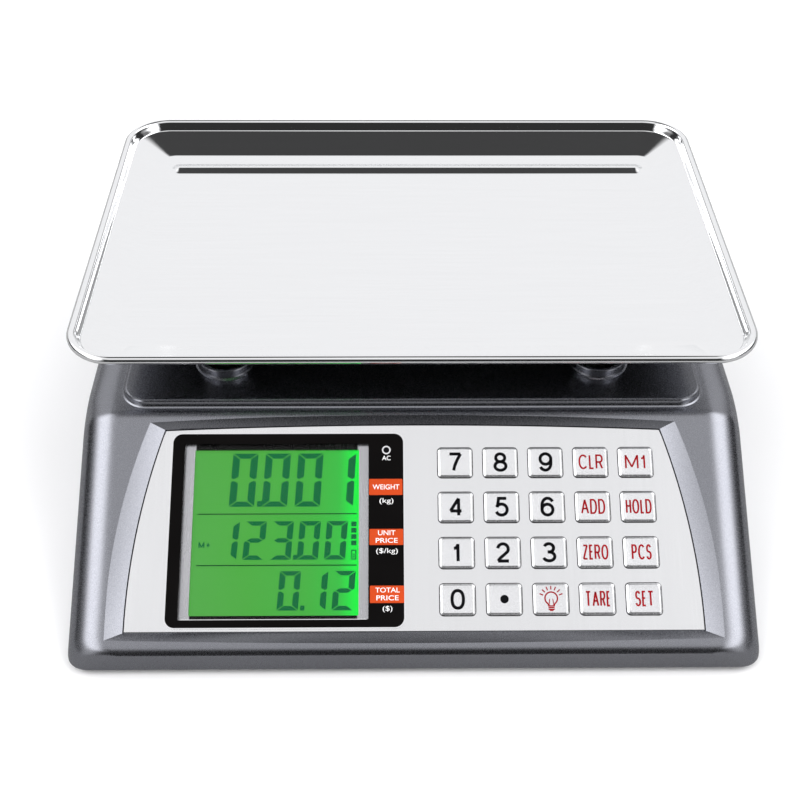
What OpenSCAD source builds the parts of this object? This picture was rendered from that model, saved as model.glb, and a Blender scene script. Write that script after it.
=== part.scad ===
// Retail price scale: wedge housing with a sloped keypad and display, and a steel weighing tray on top.
// +X is the user's right, +Y is towards the customer, +Z is up. The origin is on the table, at the middle of the footprint.

/* [Tray] */
// Width of the weighing tray
tray_w = 340; // [336:1:340]
// Depth of the weighing tray
tray_d = 230; // [226:1:232]
// Height of the tray floor's upper face above the table
tray_floor_z = 98; // [98:0.5:99]
// Height of the tray rim above its floor
tray_rim_h = 11.5; // [10:0.5:12]
// Plan radius of the rim's corners
tray_corner_r = 25; // [22:1:28]
// Width of the sloped margin round the tray floor
tray_margin = 20.5; // [18:0.5:22]
// Radius of the rolled rim
bead_r = 2.2; // [1.8:0.1:2.4]

/* [Housing] */
// Width of the housing
body_w = 330; // [328:1:332]
// Height of the deck
deck_z = 76; // [75.5:0.5:76.5]
// Height of the raised platform above the deck
platform_h = 4; // [3.5:0.5:4.5]
// Wall thickness of the housing
wall = 2.5; // [2.2:0.1:2.8]
// Slope of the control panel, in degrees
panel_tilt = 30.94; // [30.5:0.02:31.4]
// How far the steel face plate lies below the housing's slope
recess = 3.5; // [3.2:0.1:3.8]

/* [Keys] */
// Width of a key cap
key_w = 17; // [16:0.1:17.4]
// Height of a key cap along the slope
key_h = 15.2; // [14.6:0.1:15.6]
// How far a key stands above the face plate
key_rise = 1.5; // [1.2:0.1:1.8]
// Distance between key columns
pitch_x = 22.2; // [22:0.1:22.4]
// Distance between key rows
pitch_s = 22.3; // [22:0.1:22.4]
// Gap round each key
key_gap = 0.3; // [0.25:0.05:0.4]

/* [Weighing frame] */
// Half the distance between the tray cups, left to right
post_x = 95; // [94:1:96]
// Half the distance between the tray cups, front to back
post_y = 81; // [80:0.1:86]
// Radius of a bracket post
post_r = 5; // [4.5:0.1:5.5]

/* [Feet] */
// Foot position left and right
foot_x = 138; // [137:0.5:138]
// Radius of a foot pad
foot_r = 12; // [11:0.5:12.5]
// Radius of a foot's stud
stud_r = 4; // [3.8:0.1:4.2]

/* [Hidden] */
$fn = 48;
eps = 0.01;
body_d = 332;
hw = body_w / 2;
hd = body_d / 2;
base_z = 4.2;
shoulder = 20;
tray_y = hd - 0.1 - tray_d / 2;
tray_top = tray_floor_z + tray_rim_h;
panel_y = -113.76;
panel_z = 43.2;
key_x0 = 64.8;
front_y = tray_y - post_y;
rear_y = tray_y + post_y;
cell_y = tray_y;
foot_f = -134;
foot_b = 138;
inlet_x = -118;
switch_x = 118;
rocker_in = 4.6;
socket_z = 26;
door_x = -107;
door_z = 6.4;

// ---- helpers ----

// Rectangle with rounded corners, centred
module rrect(w, h, r) {
    square([w - 2 * r, h], center = true);
    square([w, h - 2 * r], center = true);
    for (sx = [-1, 1], sy = [-1, 1]) translate([sx * (w / 2 - r), sy * (h / 2 - r)]) circle(r);
}

// Rectangle with rounded corners between two points
module rbox(x0, y0, x1, y1, r) {
    translate([(x0 + x1) / 2, (y0 + y1) / 2]) rrect(x1 - x0, y1 - y0, r);
}

// Children are drawn on the control panel: x to the right, y up the slope, z out of the face plate
module on_panel() {
    translate([0, panel_y, panel_z]) rotate([panel_tilt, 0, 0]) children();
}

// Children at each tray post
module at_posts() {
    for (sx = [-1, 1], y = [front_y, rear_y]) translate([sx * post_x, y, 0]) children();
}

// Key centre on the panel, column 0 to 4 and row 0 to 3 from the top
function key_x(col) = key_x0 + (col - 2) * pitch_x;
function key_s(row) = (1.5 - row) * pitch_s;

// Outer slope of the housing at a depth y
tilt = tan(panel_tilt);
function slope_z(y) = panel_z + recess / cos(panel_tilt) + tilt * (y - panel_y);
// Height of the housing along its centre
edge_y = panel_y + (deck_z - panel_z - recess / cos(panel_tilt)) / tilt;
function centre_z(y) =
    y < edge_y ? slope_z(y) :
    y < hd - 14 ? deck_z :
    deck_z - 14 + sqrt(max(0, 196 - (y - hd + 14) * (y - hd + 14)));
// Height of the housing where its shoulder meets the side wall
side_drop = 17;
side_flat = deck_z - 10;
bend_y = edge_y + (side_drop - 10) / tilt;
function side_line(y) = slope_z(y) - side_drop;
function side_z(y) =
    y < bend_y - 14 ? side_line(y) :
    y < bend_y + 14 ? side_flat - tilt * (bend_y + 14 - y) * (bend_y + 14 - y) / 56 :
    y < hd - 22 ? side_flat :
    side_flat - 22 + sqrt(max(0, 484 - (y - hd + 22) * (y - hd + 22)));

// One cross-section of the housing at depth y, with half width w, inset by t, down to height z0
module rib(y, w, t, z0) {
    zc = centre_z(y) - t * 1.15;
    zs = side_z(y) - t;
    a = shoulder;
    pts = [for (i = [0:9]) [w - a + a * sin(i * 10), max(z0 + 0.5, zs + (zc - zs) * cos(i * 10))]];
    translate([0, y, 0]) rotate([90, 0, 0]) linear_extrude(0.02, center = true)
        polygon(concat([[w, z0]], [for (i = [9:-1:0]) pts[i]], [for (p = pts) [-p[0], p[1]]], [[-w, z0]]));
}

// The housing's outer form as one rounded block, inset by t, down to height z0
module form(t, z0) {
    r = 9 - t;
    middle = [-130, bend_y - 14, edge_y, bend_y - 8, bend_y - 2, bend_y + 4, bend_y + 9, bend_y + 14,
        hd - 22, hd - 16];
    hull() {
        for (y = middle) rib(y, hw - t, t, z0);
        for (i = [0:4]) {
            in_y = t + r * (1 - cos(i * 22.5));
            in_x = t + r * (1 - sin(i * 22.5));
            rib(in_y - hd, hw - in_x, t, z0);
            rib(hd - in_y, hw - in_x, t, z0);
        }
    }
}

// Outline of the panel recess at the housing's surface
function recess_w(s) = s < -39 ? 145.5 : 145.5 - 0.0019 * (s + 39) * (s + 39);
function recess_top(x) = 56.8 - 3.4 * (x / 129) * (x / 129);
module recess_outline(g = 0) {
    polygon(concat(
        [for (s = [-52.5:5.5:53]) [recess_w(s) + g, s - (s < -52 ? g : 0)]],
        [for (i = [10:-1:-10]) [i * 12.9 * (1 + g / 129), recess_top(i * 12.9) + g]],
        [for (s = [52:-5.5:-52.5]) [-recess_w(s) - g, s]],
        [[-recess_w(-52.5) - g, -52.5 - g]]));
}

// Outline of the steel face plate, grown by g
function plate_w(s) = 137 - 0.00156 * (s + 48) * (s + 48);
function plate_top(x) = 52.5 - 2.6 * (x / 122) * (x / 122);
module plate_outline(g = 0) {
    polygon(concat(
        [for (s = [-48:5:48]) [plate_w(s) + g, s - (s < -47 ? g : 0)]],
        [for (i = [12:-1:-12]) [i * 10.15, plate_top(i * 10.15) + g]],
        [for (s = [47:-5:-48]) [-plate_w(s) - g, s]],
        [[-plate_w(-48) - g, -48 - g]]));
}

// Holes for the keys
module key_holes(g, r) {
    for (c = [0:4], k = [0:3]) translate([key_x(c), key_s(k)]) rrect(key_w + 2 * g, key_h + 2 * g, r);
}

// ---- weighing parts ----

// Centre line radius helper: ring of round section that follows a rounded rectangle
module bead(w, d, r, t) {
    for (i = [0:3]) rotate(0) {
        sx = i == 0 || i == 3 ? 1 : -1;
        sy = i < 2 ? 1 : -1;
        translate([sx * (w / 2 - r), sy * (d / 2 - r), 0]) rotate([0, 0, i * 90])
            rotate_extrude(angle = 90) translate([r, 0]) circle(t, $fn = 32);
    }
    for (s = [-1, 1]) {
        translate([0, s * d / 2, 0]) rotate([0, 90, 0]) cylinder(r = t, h = w - 2 * r, center = true, $fn = 32);
        translate([s * w / 2, 0, 0]) rotate([90, 0, 0]) cylinder(r = t, h = d - 2 * r, center = true, $fn = 32);
    }
}

// Thin level of the tray form at height z, set in by d from the rim
module tray_level(z, d, r) {
    translate([0, 0, z]) linear_extrude(eps) rrect(tray_w - 2 * d, tray_d - 2 * d, r, $fn = 32);
}

module weighing_tray() color("gainsboro") translate([0, tray_y, 0]) {
    f = tray_floor_z;
    rim = tray_top - bead_r;
    difference() {
        hull() {
            tray_level(f - 1, tray_margin + 6.4, 4);
            tray_level(f + 5.4, 5.2, tray_corner_r - 5.2);
            tray_level(rim, 2.6, tray_corner_r - 2.6);
        }
        hull() {
            tray_level(f, tray_margin + 6, 4);
            tray_level(f + 6.5, 6, tray_corner_r - 6);
            tray_level(rim + 0.2, 4, tray_corner_r - 4);
        }
    }
    translate([0, 0, rim]) bead(tray_w - 2 * bead_r, tray_d - 2 * bead_r, tray_corner_r - bead_r, bead_r);
    // pressed rib near the back
    translate([0, 125.5 - tray_y, f - 4]) intersection() {
        union() {
            rotate([0, 90, 0]) cylinder(r = 6, h = 272, center = true);
            for (s = [-1, 1]) translate([s * 136, 0, 0]) sphere(6);
        }
        translate([-150, -10, 3.5]) cube([300, 20, 4]);
    }
}

module tray_cups() color("dimgray") at_posts() {
    f = tray_floor_z - 1;
    rotate_extrude() polygon([[post_r, 84], [8, 84], [8, 89], [7, 91], [10.5, 95], [12, f], [9, f], [6, 92.5], [0, 92], [0, 90.1], [post_r, 90.1]]);
}

module spider_bracket() color("silver") {
    at_posts() {
        translate([0, 0, 38]) cylinder(r = 10, h = 8);
        translate([0, 0, 46]) cylinder(r = post_r, h = 44);
        translate([0, 0, 46]) cylinder(r1 = 8, r2 = post_r, h = 8);
    }
    l = sqrt(post_x * post_x + post_y * post_y);
    for (s = [-1, 1]) translate([0, tray_y, 0]) rotate([0, 0, s * atan2(post_y, post_x)]) {
        translate([-l, -7, 38]) cube([2 * l, 14, 5]);
        translate([-l, -2, 43]) cube([2 * l, 4, 3]);
    }
    difference() {
        union() {
            translate([-22, tray_y - 20, 38]) cube([44, 90, 5]);
            translate([-13, cell_y + 37, 35]) cube([26, 28, 3.5]);
        }
        for (y = [44, 58]) translate([0, cell_y + y, 30]) cylinder(r = 3.2, h = 20);
    }
}

module free_end_bolts() color("gray") for (y = [44, 58]) translate([0, cell_y + y, 0]) {
    translate([0, 0, 27]) cylinder(r = 3, h = 16.1);
    difference() {
        translate([0, 0, 43]) cylinder(r = 5, h = 5);
        translate([0, 0, 45]) cylinder(r = 2.5, h = 4, $fn = 6);
    }
}

module load_cell() color("lightsteelblue") difference() {
    translate([-15, cell_y - 65, 13]) cube([30, 130, 22]);
    // twin flexure holes joined by a slot
    for (y = [-14, 14]) translate([-16, cell_y + y, 24]) rotate([0, 90, 0]) cylinder(r = 8.5, h = 32);
    translate([-16, cell_y - 14, 22]) cube([32, 28, 4]);
    // blind threads at both ends
    for (y = [44, 58]) translate([0, cell_y + y, 26]) cylinder(r = 3.1, h = 10);
    for (y = [-44, -58]) translate([0, cell_y + y, 12]) cylinder(r = 3.1, h = 10);
}

module load_cell_base() color("slategray") difference() {
    union() {
        translate([-85, cell_y - 78, 6.7]) cube([170, 156, 3.3]);
        translate([-13, cell_y - 65, 10]) cube([26, 28, 3]);
    }
    for (y = [-44, -58]) translate([0, cell_y + y, 6]) cylinder(r = 3.2, h = 10);
    for (s = [-1, 1], t = [-1, 1]) translate([s * 71.25, tray_y + t * 63.7, 6]) cylinder(r = 3, h = 10);
}

module fixed_end_bolts() color("gray") for (y = [-44, -58]) translate([0, cell_y + y, 0]) {
    translate([0, 0, 6.6]) cylinder(r = 3, h = 14);
    translate([0, 0, 4.7]) cylinder(r = 5, h = 2);
}

module overload_stops() color("gray") for (s = [-1, 1], t = [-1, 1]) translate([s * 71.25, tray_y + t * 63.7, 0]) {
    translate([0, 0, 6.8]) cylinder(r = 3, h = 30.4);
    translate([0, 0, 10]) cylinder(r = 5, h = 4, $fn = 6);
}

// ---- housing ----

module level_pocket() translate([122, 60, 0]) children();

module screw_places() {
    for (p = [[80, -152.2], [150, 108], [60, 150]], s = [-1, 1]) translate([s * p[0], p[1], 0]) children();
}

module top_housing() color([0.56, 0.57, 0.60]) difference() {
    union() {
        difference() {
            form(0, base_z);
            form(wall, base_z - 2);
        }
        // floor of the panel recess
        intersection() {
            form(1, base_z);
            on_panel() translate([0, 0, -3]) linear_extrude(6) recess_outline(1.5);
        }
        // raised platform and post collars
        translate([0, tray_y, 0]) {
            translate([0, 0, deck_z - 1]) linear_extrude(platform_h) rrect(289, 223.6, 12.5);
            translate([0, 0, deck_z + platform_h - 1 - eps]) linear_extrude(1 + eps) rrect(287, 221.6, 11.5);
        }
        at_posts() translate([0, 0, deck_z + platform_h - 1]) cylinder(r = 14.6, h = 6);
        // screw bosses
        intersection() {
            form(1, base_z);
            screw_places() translate([0, 0, 7]) cylinder(r = 3.6, h = 90);
        }
    }
    // panel recess with sloped margins
    on_panel() {
        translate([0, 0, -0.8]) linear_extrude(8) plate_outline(0.35);
        hull() {
            translate([0, 0, 0]) linear_extrude(eps) plate_outline(0.5);
            translate([0, 0, recess]) linear_extrude(eps) recess_outline();
            translate([0, 0, recess + 3]) linear_extrude(eps) recess_outline(2);
        }
        translate([0, 0, -10]) linear_extrude(20) {
            key_holes(0.6, 2.6);
            rbox(-116, -44.8, -8, 46.8, 2);
        }
    }
    at_posts() translate([0, 0, deck_z - 8]) cylinder(r = 12.5, h = 20);
    level_pocket() translate([0, 0, deck_z - 8]) cylinder(r = 8.3, h = 20);
    // openings in the back wall
    translate([0, hd - 8, 39]) rotate([90, 0, 0]) linear_extrude(20, center = true) rrect(150.4, 38.4, 3);
    translate([inlet_x, hd - 8, socket_z]) rotate([90, 0, 0]) linear_extrude(20, center = true) rrect(31.4, 23.4, 2);
    translate([switch_x, hd - 8, socket_z]) rotate([90, 0, 0]) linear_extrude(20, center = true) rrect(24.4, 18.4, 1.5);
    screw_places() translate([0, 0, 6]) cylinder(r = 1.5, h = 13);
}

module foot_places() {
    for (s = [-1, 1], y = [foot_f, foot_b]) translate([s * foot_x, y, 0]) children();
}

module base_housing() color("dimgray") difference() {
    union() {
        difference() {
            translate([0, 0, base_z]) linear_extrude(5.8) rrect(323.2, 325.2, 16);
            translate([0, 0, base_z + 2.5]) linear_extrude(5) rrect(318.8, 320.8, 13.8);
        }
        foot_places() {
            translate([0, 0, base_z]) cylinder(r = foot_r + 4, h = 9.3);
            translate([0, 0, 13]) cylinder(r = 7, h = 9.5);
        }
        // hinge ears of the battery door
        for (y = [-18.6, 95.4]) translate([door_x - 2.6, y, base_z]) cube([5.2, 4.4, 4.7]);
    }
    foot_places() {
        translate([0, 0, base_z - 1]) cylinder(r = foot_r + 2, h = 8.8);
        translate([0, 0, 10]) cylinder(r = stud_r + 0.05, h = 20);
    }
    screw_places() {
        translate([0, 0, base_z - 1]) cylinder(r = 3.6, h = 3);
        translate([0, 0, base_z - 1]) cylinder(r = 1.7, h = 10);
    }
    // battery opening
    translate([-158, -14, base_z - 1]) cube([53.6, 109.2, 10]);
    // hinge pin bores
    translate([door_x, -17, door_z]) rotate([-90, 0, 0]) cylinder(r = 0.95, h = 114.6);
    // relief for the lower beam bolts
    for (y = [-44, -58]) translate([0, cell_y + y, base_z + 0.4]) cylinder(r = 5.6, h = 4);
}

module battery_door() color("dimgray") {
    translate([-157.6, -13.6, 4.4]) cube([49.4, 108.4, 1.8]);
    translate([-110, -13.6, 4.4]) cube([3, 108.4, 1.8]);
    translate([door_x, -13.6, door_z]) rotate([-90, 0, 0]) cylinder(r = 1.4, h = 108.4);
    translate([door_x, -16.2, door_z]) rotate([-90, 0, 0]) cylinder(r = 0.9, h = 113.4);
    // finger ridges
    for (i = [0:4]) translate([-155 + i * 2.4, 22, 4.4 - 0.001]) cube([1.2, 38, 2.2]);
}

module face_plate() color([0.86, 0.87, 0.87]) on_panel() translate([0, 0, -0.8]) linear_extrude(0.8) difference() {
    plate_outline();
    key_holes(key_gap, 2.3);
    rbox(-116, -44.8, -8, 46.8, 2);
}

// ---- display ----

module display_bezel() color([0.05, 0.05, 0.05]) on_panel() difference() {
    union() {
        linear_extrude(0.8) rbox(-118, -46.3, -5, 48.2, 4.5);
        linear_extrude(1.2) rbox(-117.6, -45.9, -5.4, 47.8, 4.1);
        translate([0, 0, -2.8]) linear_extrude(2.9) rbox(-115.7, -44.5, -8.3, 46.5, 1.8);
    }
    translate([0, 0, -3]) linear_extrude(6) rbox(-112, -42.7, -22, 43, 0.8);
    translate([-13.3, 39.6, -3]) cylinder(r = 1.9, h = 6);
}

module display_window() color([0.8, 0.9, 0.85, 0.3]) on_panel() translate([0, 0, 0.1]) linear_extrude(0.8) rbox(-112, -42.7, -22, 43, 0.8);

module lcd_frame() color("silver") on_panel() difference() {
    translate([0, 0, -2.8]) linear_extrude(1.6) rbox(-112, -42.7, -22, 43, 0.8);
    translate([0, 0, -4]) linear_extrude(6) rbox(-107.3, -40.5, -26.7, 40.6, 0.5);
}

module front_lcd() color([0.25, 0.75, 0.35]) on_panel() translate([0, 0, -5.4]) linear_extrude(2.6) rbox(-110, -42, -24, 42.3, 0.8);

module backlight() color([0.4, 1, 0.5]) on_panel() translate([0, 0, -9]) linear_extrude(3.6) rbox(-110, -42, -24, 42.3, 0.8);

module ac_indicator() color("silver") on_panel() translate([-13.3, 39.6, 0]) {
    translate([0, 0, -4]) cylinder(r = 1.9, h = 5.4);
    translate([0, 0, 1.4]) intersection() {
        translate([0, 0, -1.4]) sphere(2.1);
        cylinder(r = 1.9, h = 2);
    }
    translate([0, 0, -5]) cylinder(r = 2.4, h = 1.8);
}

// ---- keys ----

// One key: cap, flange below the housing panel, and stem
module key(col, row) color([0.84, 0.85, 0.86]) on_panel() translate([key_x(col), key_s(row), 0]) {
    translate([0, 0, -4.4]) linear_extrude(4.4 + key_rise - 0.5) rrect(key_w, key_h, 2);
    translate([0, 0, key_rise - 0.5 - eps]) linear_extrude(0.5 + eps) rrect(key_w - 1, key_h - 1, 1.6);
    translate([0, 0, -4.4]) linear_extrude(1.2) rrect(key_w + 3, key_h + 3, 2);
    translate([0, 0, -6.4]) cylinder(r = 3, h = 3);
}

module key_7() key(0, 0);
module key_8() key(1, 0);
module key_9() key(2, 0);
module key_clr() key(3, 0);
module key_m1() key(4, 0);
module key_4() key(0, 1);
module key_5() key(1, 1);
module key_6() key(2, 1);
module key_add() key(3, 1);
module key_hold() key(4, 1);
module key_1() key(0, 2);
module key_2() key(1, 2);
module key_3() key(2, 2);
module key_zero() key(3, 2);
module key_pcs() key(4, 2);
module key_0() key(0, 3);
module key_dot() key(1, 3);
module key_light() key(2, 3);
module key_tare() key(3, 3);
module key_set() key(4, 3);

module keypad_mat() color("lightgray") on_panel() {
    translate([0, 0, -10.5]) linear_extrude(1.2) rbox(9, -44.5, 120.6, 44.5, 3);
    for (c = [0:4], k = [0:3]) translate([key_x(c), key_s(k), -9.4]) cylinder(r1 = 5, r2 = 3.4, h = 1.7);
}

module keypad_pcb() color("seagreen") on_panel() {
    translate([0, 0, -12.1]) linear_extrude(1.6) rbox(9, -44.5, 120.6, 44.5, 2);
    for (s = [-20, 0, 20]) translate([66 + s, s, -13.4]) cube([7, 7, 1.4]);
}

module main_pcb() color("seagreen") difference() {
    union() {
        translate([-60, -84, 15]) cube([120, 46, 1.6]);
        for (x = [-54, 54], y = [-79, -43]) translate([x, y, 6.7]) cylinder(r = 3, h = 8.3);
        translate([-18, -70, 16.6]) cube([20, 20, 2.4]);
        translate([20, -66, 16.6]) cube([12, 9, 1.8]);
        translate([42, -60, 16.6]) cylinder(r = 4, h = 11);
        translate([-48, -52, 16.6]) cube([22, 6, 6]);
        translate([20, -48, 16.6]) cube([12, 8, 6]);
    }
}

// ---- power ----

module transformer() color("dimgray") {
    for (x = [108, 144]) translate([x, 24, 6.7]) cube([8, 42, 38]);
    translate([116, 24, 6.7]) cube([28, 42, 8]);
    translate([116, 24, 36.7]) cube([28, 42, 8]);
    translate([112, 30, 14.7]) cube([36, 30, 22]);
    translate([118, 18, 16.7]) cube([24, 54, 18]);
}

module battery() color([0.2, 0.22, 0.25]) {
    translate([-155, -9, 6.9]) linear_extrude(45) rbox(0, 0, 44, 99, 1.5);
    for (x = [-146, -122]) translate([x, 0, 51.9]) cube([4.8, 1, 6]);
}

module rear_bezel() color([0.05, 0.05, 0.05]) translate([0, hd, 39]) rotate([90, 0, 0]) difference() {
    union() {
        translate([0, 0, 0.2]) linear_extrude(2.6) rrect(150, 38, 2.8);
        translate([0, 0, 2.5]) linear_extrude(2) rrect(156, 44, 2.8);
    }
    translate([0, 0, -1]) linear_extrude(8) rrect(136, 28, 1);
}

module rear_lcd() color([0.25, 0.75, 0.35]) translate([0, hd - 4.5, 39]) rotate([90, 0, 0]) linear_extrude(3) rrect(146, 36, 1);

module switch_housing() color([0.08, 0.08, 0.08]) translate([switch_x, hd, socket_z]) rotate([90, 0, 0]) difference() {
    union() {
        translate([0, 0, 0.2]) linear_extrude(14) rrect(24, 18, 1.3);
    }
    translate([0, 0, -1]) linear_extrude(13) rrect(17, 13, 0.6);
    translate([0, 0, rocker_in]) rotate([0, 90, 0]) cylinder(r = 1.55, h = 21.4, center = true);
}

module power_rocker() color([0.7, 0.1, 0.1]) translate([switch_x, hd - rocker_in, socket_z]) rotate([10, 0, 0]) {
    difference() {
        rotate([0, 90, 0]) cylinder(r = 6.1, h = 16.6, center = true);
        // two-sided face
        translate([-9, 2.6, 0]) rotate([-10, 0, 0]) cube([18, 10, 10]);
        translate([-9, 2.6, 0]) rotate([10, 0, 0]) translate([0, 0, -10]) cube([18, 10, 10]);
        translate([-9, -8, -8]) cube([18, 4, 16]);
    }
    rotate([0, 90, 0]) cylinder(r = 1.5, h = 21, center = true);
}

module power_inlet() color([0.1, 0.1, 0.1]) translate([inlet_x, hd, socket_z]) rotate([90, 0, 0]) {
    difference() {
        translate([0, 0, 0.2]) linear_extrude(19) rrect(31, 23, 1.8);
        translate([0, 0, -1]) linear_extrude(17) rrect(24, 16.6, 2.5);
    }
    for (p = [[-7, 2], [7, 2], [0, -3]]) translate([p[0] - 1, p[1] - 2, 6]) cube([2, 4, 11]);
}

module bubble_level() color([0.6, 0.85, 0.3]) level_pocket() {
    translate([0, 0, deck_z - 4]) cylinder(r = 8, h = 8.5);
    translate([0, 0, deck_z + 4]) cylinder(r = 9.5, h = 1);
}

module housing_screws() color("gray") screw_places() {
    difference() {
        translate([0, 0, base_z + 0.2]) cylinder(r = 3.3, h = 1.8);
        translate([-2.2, -0.4, base_z]) cube([4.4, 0.8, 1]);
        translate([-0.4, -2.2, base_z]) cube([0.8, 4.4, 1]);
    }
    translate([0, 0, base_z + 1.9]) cylinder(r = 1.45, h = 9.5);
}

// ---- feet ----

module foot_pad() color([0.12, 0.12, 0.12]) difference() {
    union() {
        translate([0, 0, 0.8]) cylinder(r = foot_r, h = 2.4);
        cylinder(r1 = foot_r - 0.8, r2 = foot_r, h = 0.8);
        translate([0, 0, 3]) cylinder(r = 8, h = 2.4);
    }
    translate([0, 0, 2.4]) cylinder(r = 5.08, h = 5);
}

module foot_stud() color("silver") {
    translate([0, 0, 2.45]) cylinder(r = 5, h = 2);
    translate([0, 0, 4]) cylinder(r = stud_r, h = 18);
    translate([0, 0, 6.2]) cylinder(r = 7, h = 2.4, $fn = 6);
}

module foot_pad_front_left() translate([-foot_x, foot_f, 0]) foot_pad();
module foot_pad_front_right() translate([foot_x, foot_f, 0]) foot_pad();
module foot_pad_rear_left() translate([-foot_x, foot_b, 0]) foot_pad();
module foot_pad_rear_right() translate([foot_x, foot_b, 0]) foot_pad();
module foot_stud_front_left() translate([-foot_x, foot_f, 0]) foot_stud();
module foot_stud_front_right() translate([foot_x, foot_f, 0]) foot_stud();
module foot_stud_rear_left() translate([-foot_x, foot_b, 0]) foot_stud();
module foot_stud_rear_right() translate([foot_x, foot_b, 0]) foot_stud();

// ---- wiring ----

// Round lead through a list of points
module lead(pts, r) {
    for (i = [0:len(pts) - 2]) {
        d = pts[i + 1] - pts[i];
        l = norm(d);
        translate(pts[i]) rotate([0, acos(d[2] / l), atan2(d[1], d[0])]) cylinder(r = r, h = l, $fn = 16);
    }
    for (i = [1:len(pts) - 2]) translate(pts[i]) sphere(r * 1.04, $fn = 16);
}

module load_cell_cable() color([0.75, 0.75, 0.75])
    lead([[15, cell_y - 52, 22], [24, cell_y - 52, 21], [24, -38, 19.5]], 1.6);

module battery_leads() color([0.7, 0.12, 0.1])
    lead([[-117.2, 0.5, 55], [-107, -3, 54], [-100, -18, 14], [-50, -58, 13.9]], 1.1);

weighing_tray();
tray_cups();
spider_bracket();
free_end_bolts();
load_cell();
load_cell_base();
fixed_end_bolts();
overload_stops();
top_housing();
base_housing();
face_plate();
display_bezel();
display_window();
lcd_frame();
front_lcd();
backlight();
ac_indicator();
key_7();
key_8();
key_9();
key_clr();
key_m1();
key_4();
key_5();
key_6();
key_add();
key_hold();
key_1();
key_2();
key_3();
key_zero();
key_pcs();
key_0();
key_dot();
key_light();
key_tare();
key_set();
keypad_mat();
keypad_pcb();
main_pcb();
transformer();
battery();
battery_door();
rear_bezel();
rear_lcd();
switch_housing();
power_rocker();
power_inlet();
bubble_level();
housing_screws();
foot_pad_front_left();
foot_pad_front_right();
foot_pad_rear_left();
foot_pad_rear_right();
foot_stud_front_left();
foot_stud_front_right();
foot_stud_rear_left();
foot_stud_rear_right();
load_cell_cable();
battery_leads();
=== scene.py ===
import math
import random

import bmesh
import bpy
from mathutils import Matrix, Vector


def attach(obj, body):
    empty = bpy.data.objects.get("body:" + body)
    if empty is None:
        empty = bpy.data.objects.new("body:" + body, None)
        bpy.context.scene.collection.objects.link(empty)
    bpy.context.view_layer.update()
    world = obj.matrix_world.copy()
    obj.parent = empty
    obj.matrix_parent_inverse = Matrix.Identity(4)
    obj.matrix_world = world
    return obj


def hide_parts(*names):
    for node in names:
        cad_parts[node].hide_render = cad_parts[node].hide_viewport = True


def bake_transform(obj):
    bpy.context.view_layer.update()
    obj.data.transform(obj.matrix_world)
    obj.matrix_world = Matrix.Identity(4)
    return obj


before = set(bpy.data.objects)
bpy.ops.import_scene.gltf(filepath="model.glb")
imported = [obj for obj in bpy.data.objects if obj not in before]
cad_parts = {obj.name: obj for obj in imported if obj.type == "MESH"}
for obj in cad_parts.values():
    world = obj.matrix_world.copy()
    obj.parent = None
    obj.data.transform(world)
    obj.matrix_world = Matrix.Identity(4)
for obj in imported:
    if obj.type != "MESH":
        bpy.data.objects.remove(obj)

random.seed(7)
SC = bpy.context.scene
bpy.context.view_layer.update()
MM = 0.001

# ------------------------------------------------------------------ camera
C = Vector((-0.01358, -0.50356, 0.48201))
F = Vector((0.0119, 0.7404, -0.6720)).normalized()
R = Vector((0.9999, -0.0104, 0.0063)).normalized()
U = R.cross(F).normalized()
R = F.cross(U).normalized()
cam_data = bpy.data.cameras.new("view_camera")
cam_data.sensor_width = 36.0
cam_data.sensor_fit = "HORIZONTAL"
cam_data.lens = 54.37
cam_data.clip_start = 0.02
cam_data.clip_end = 50.0
cam = bpy.data.objects.new("view_camera", cam_data)
SC.collection.objects.link(cam)
cam.matrix_world = Matrix((
    (R.x, U.x, -F.x, C.x),
    (R.y, U.y, -F.y, C.y),
    (R.z, U.z, -F.z, C.z),
    (0, 0, 0, 1)))
SC.camera = cam

# ------------------------------------------------------------------ frame of the sloped panel
TILT = math.radians(30.94)
PAN = Matrix.Translation((0, -113.76 * MM, 43.2 * MM)) @ Matrix.Rotation(TILT, 4, "X")


def on_panel(x, s, n):
    return PAN @ Vector((x * MM, s * MM, n * MM))


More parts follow.
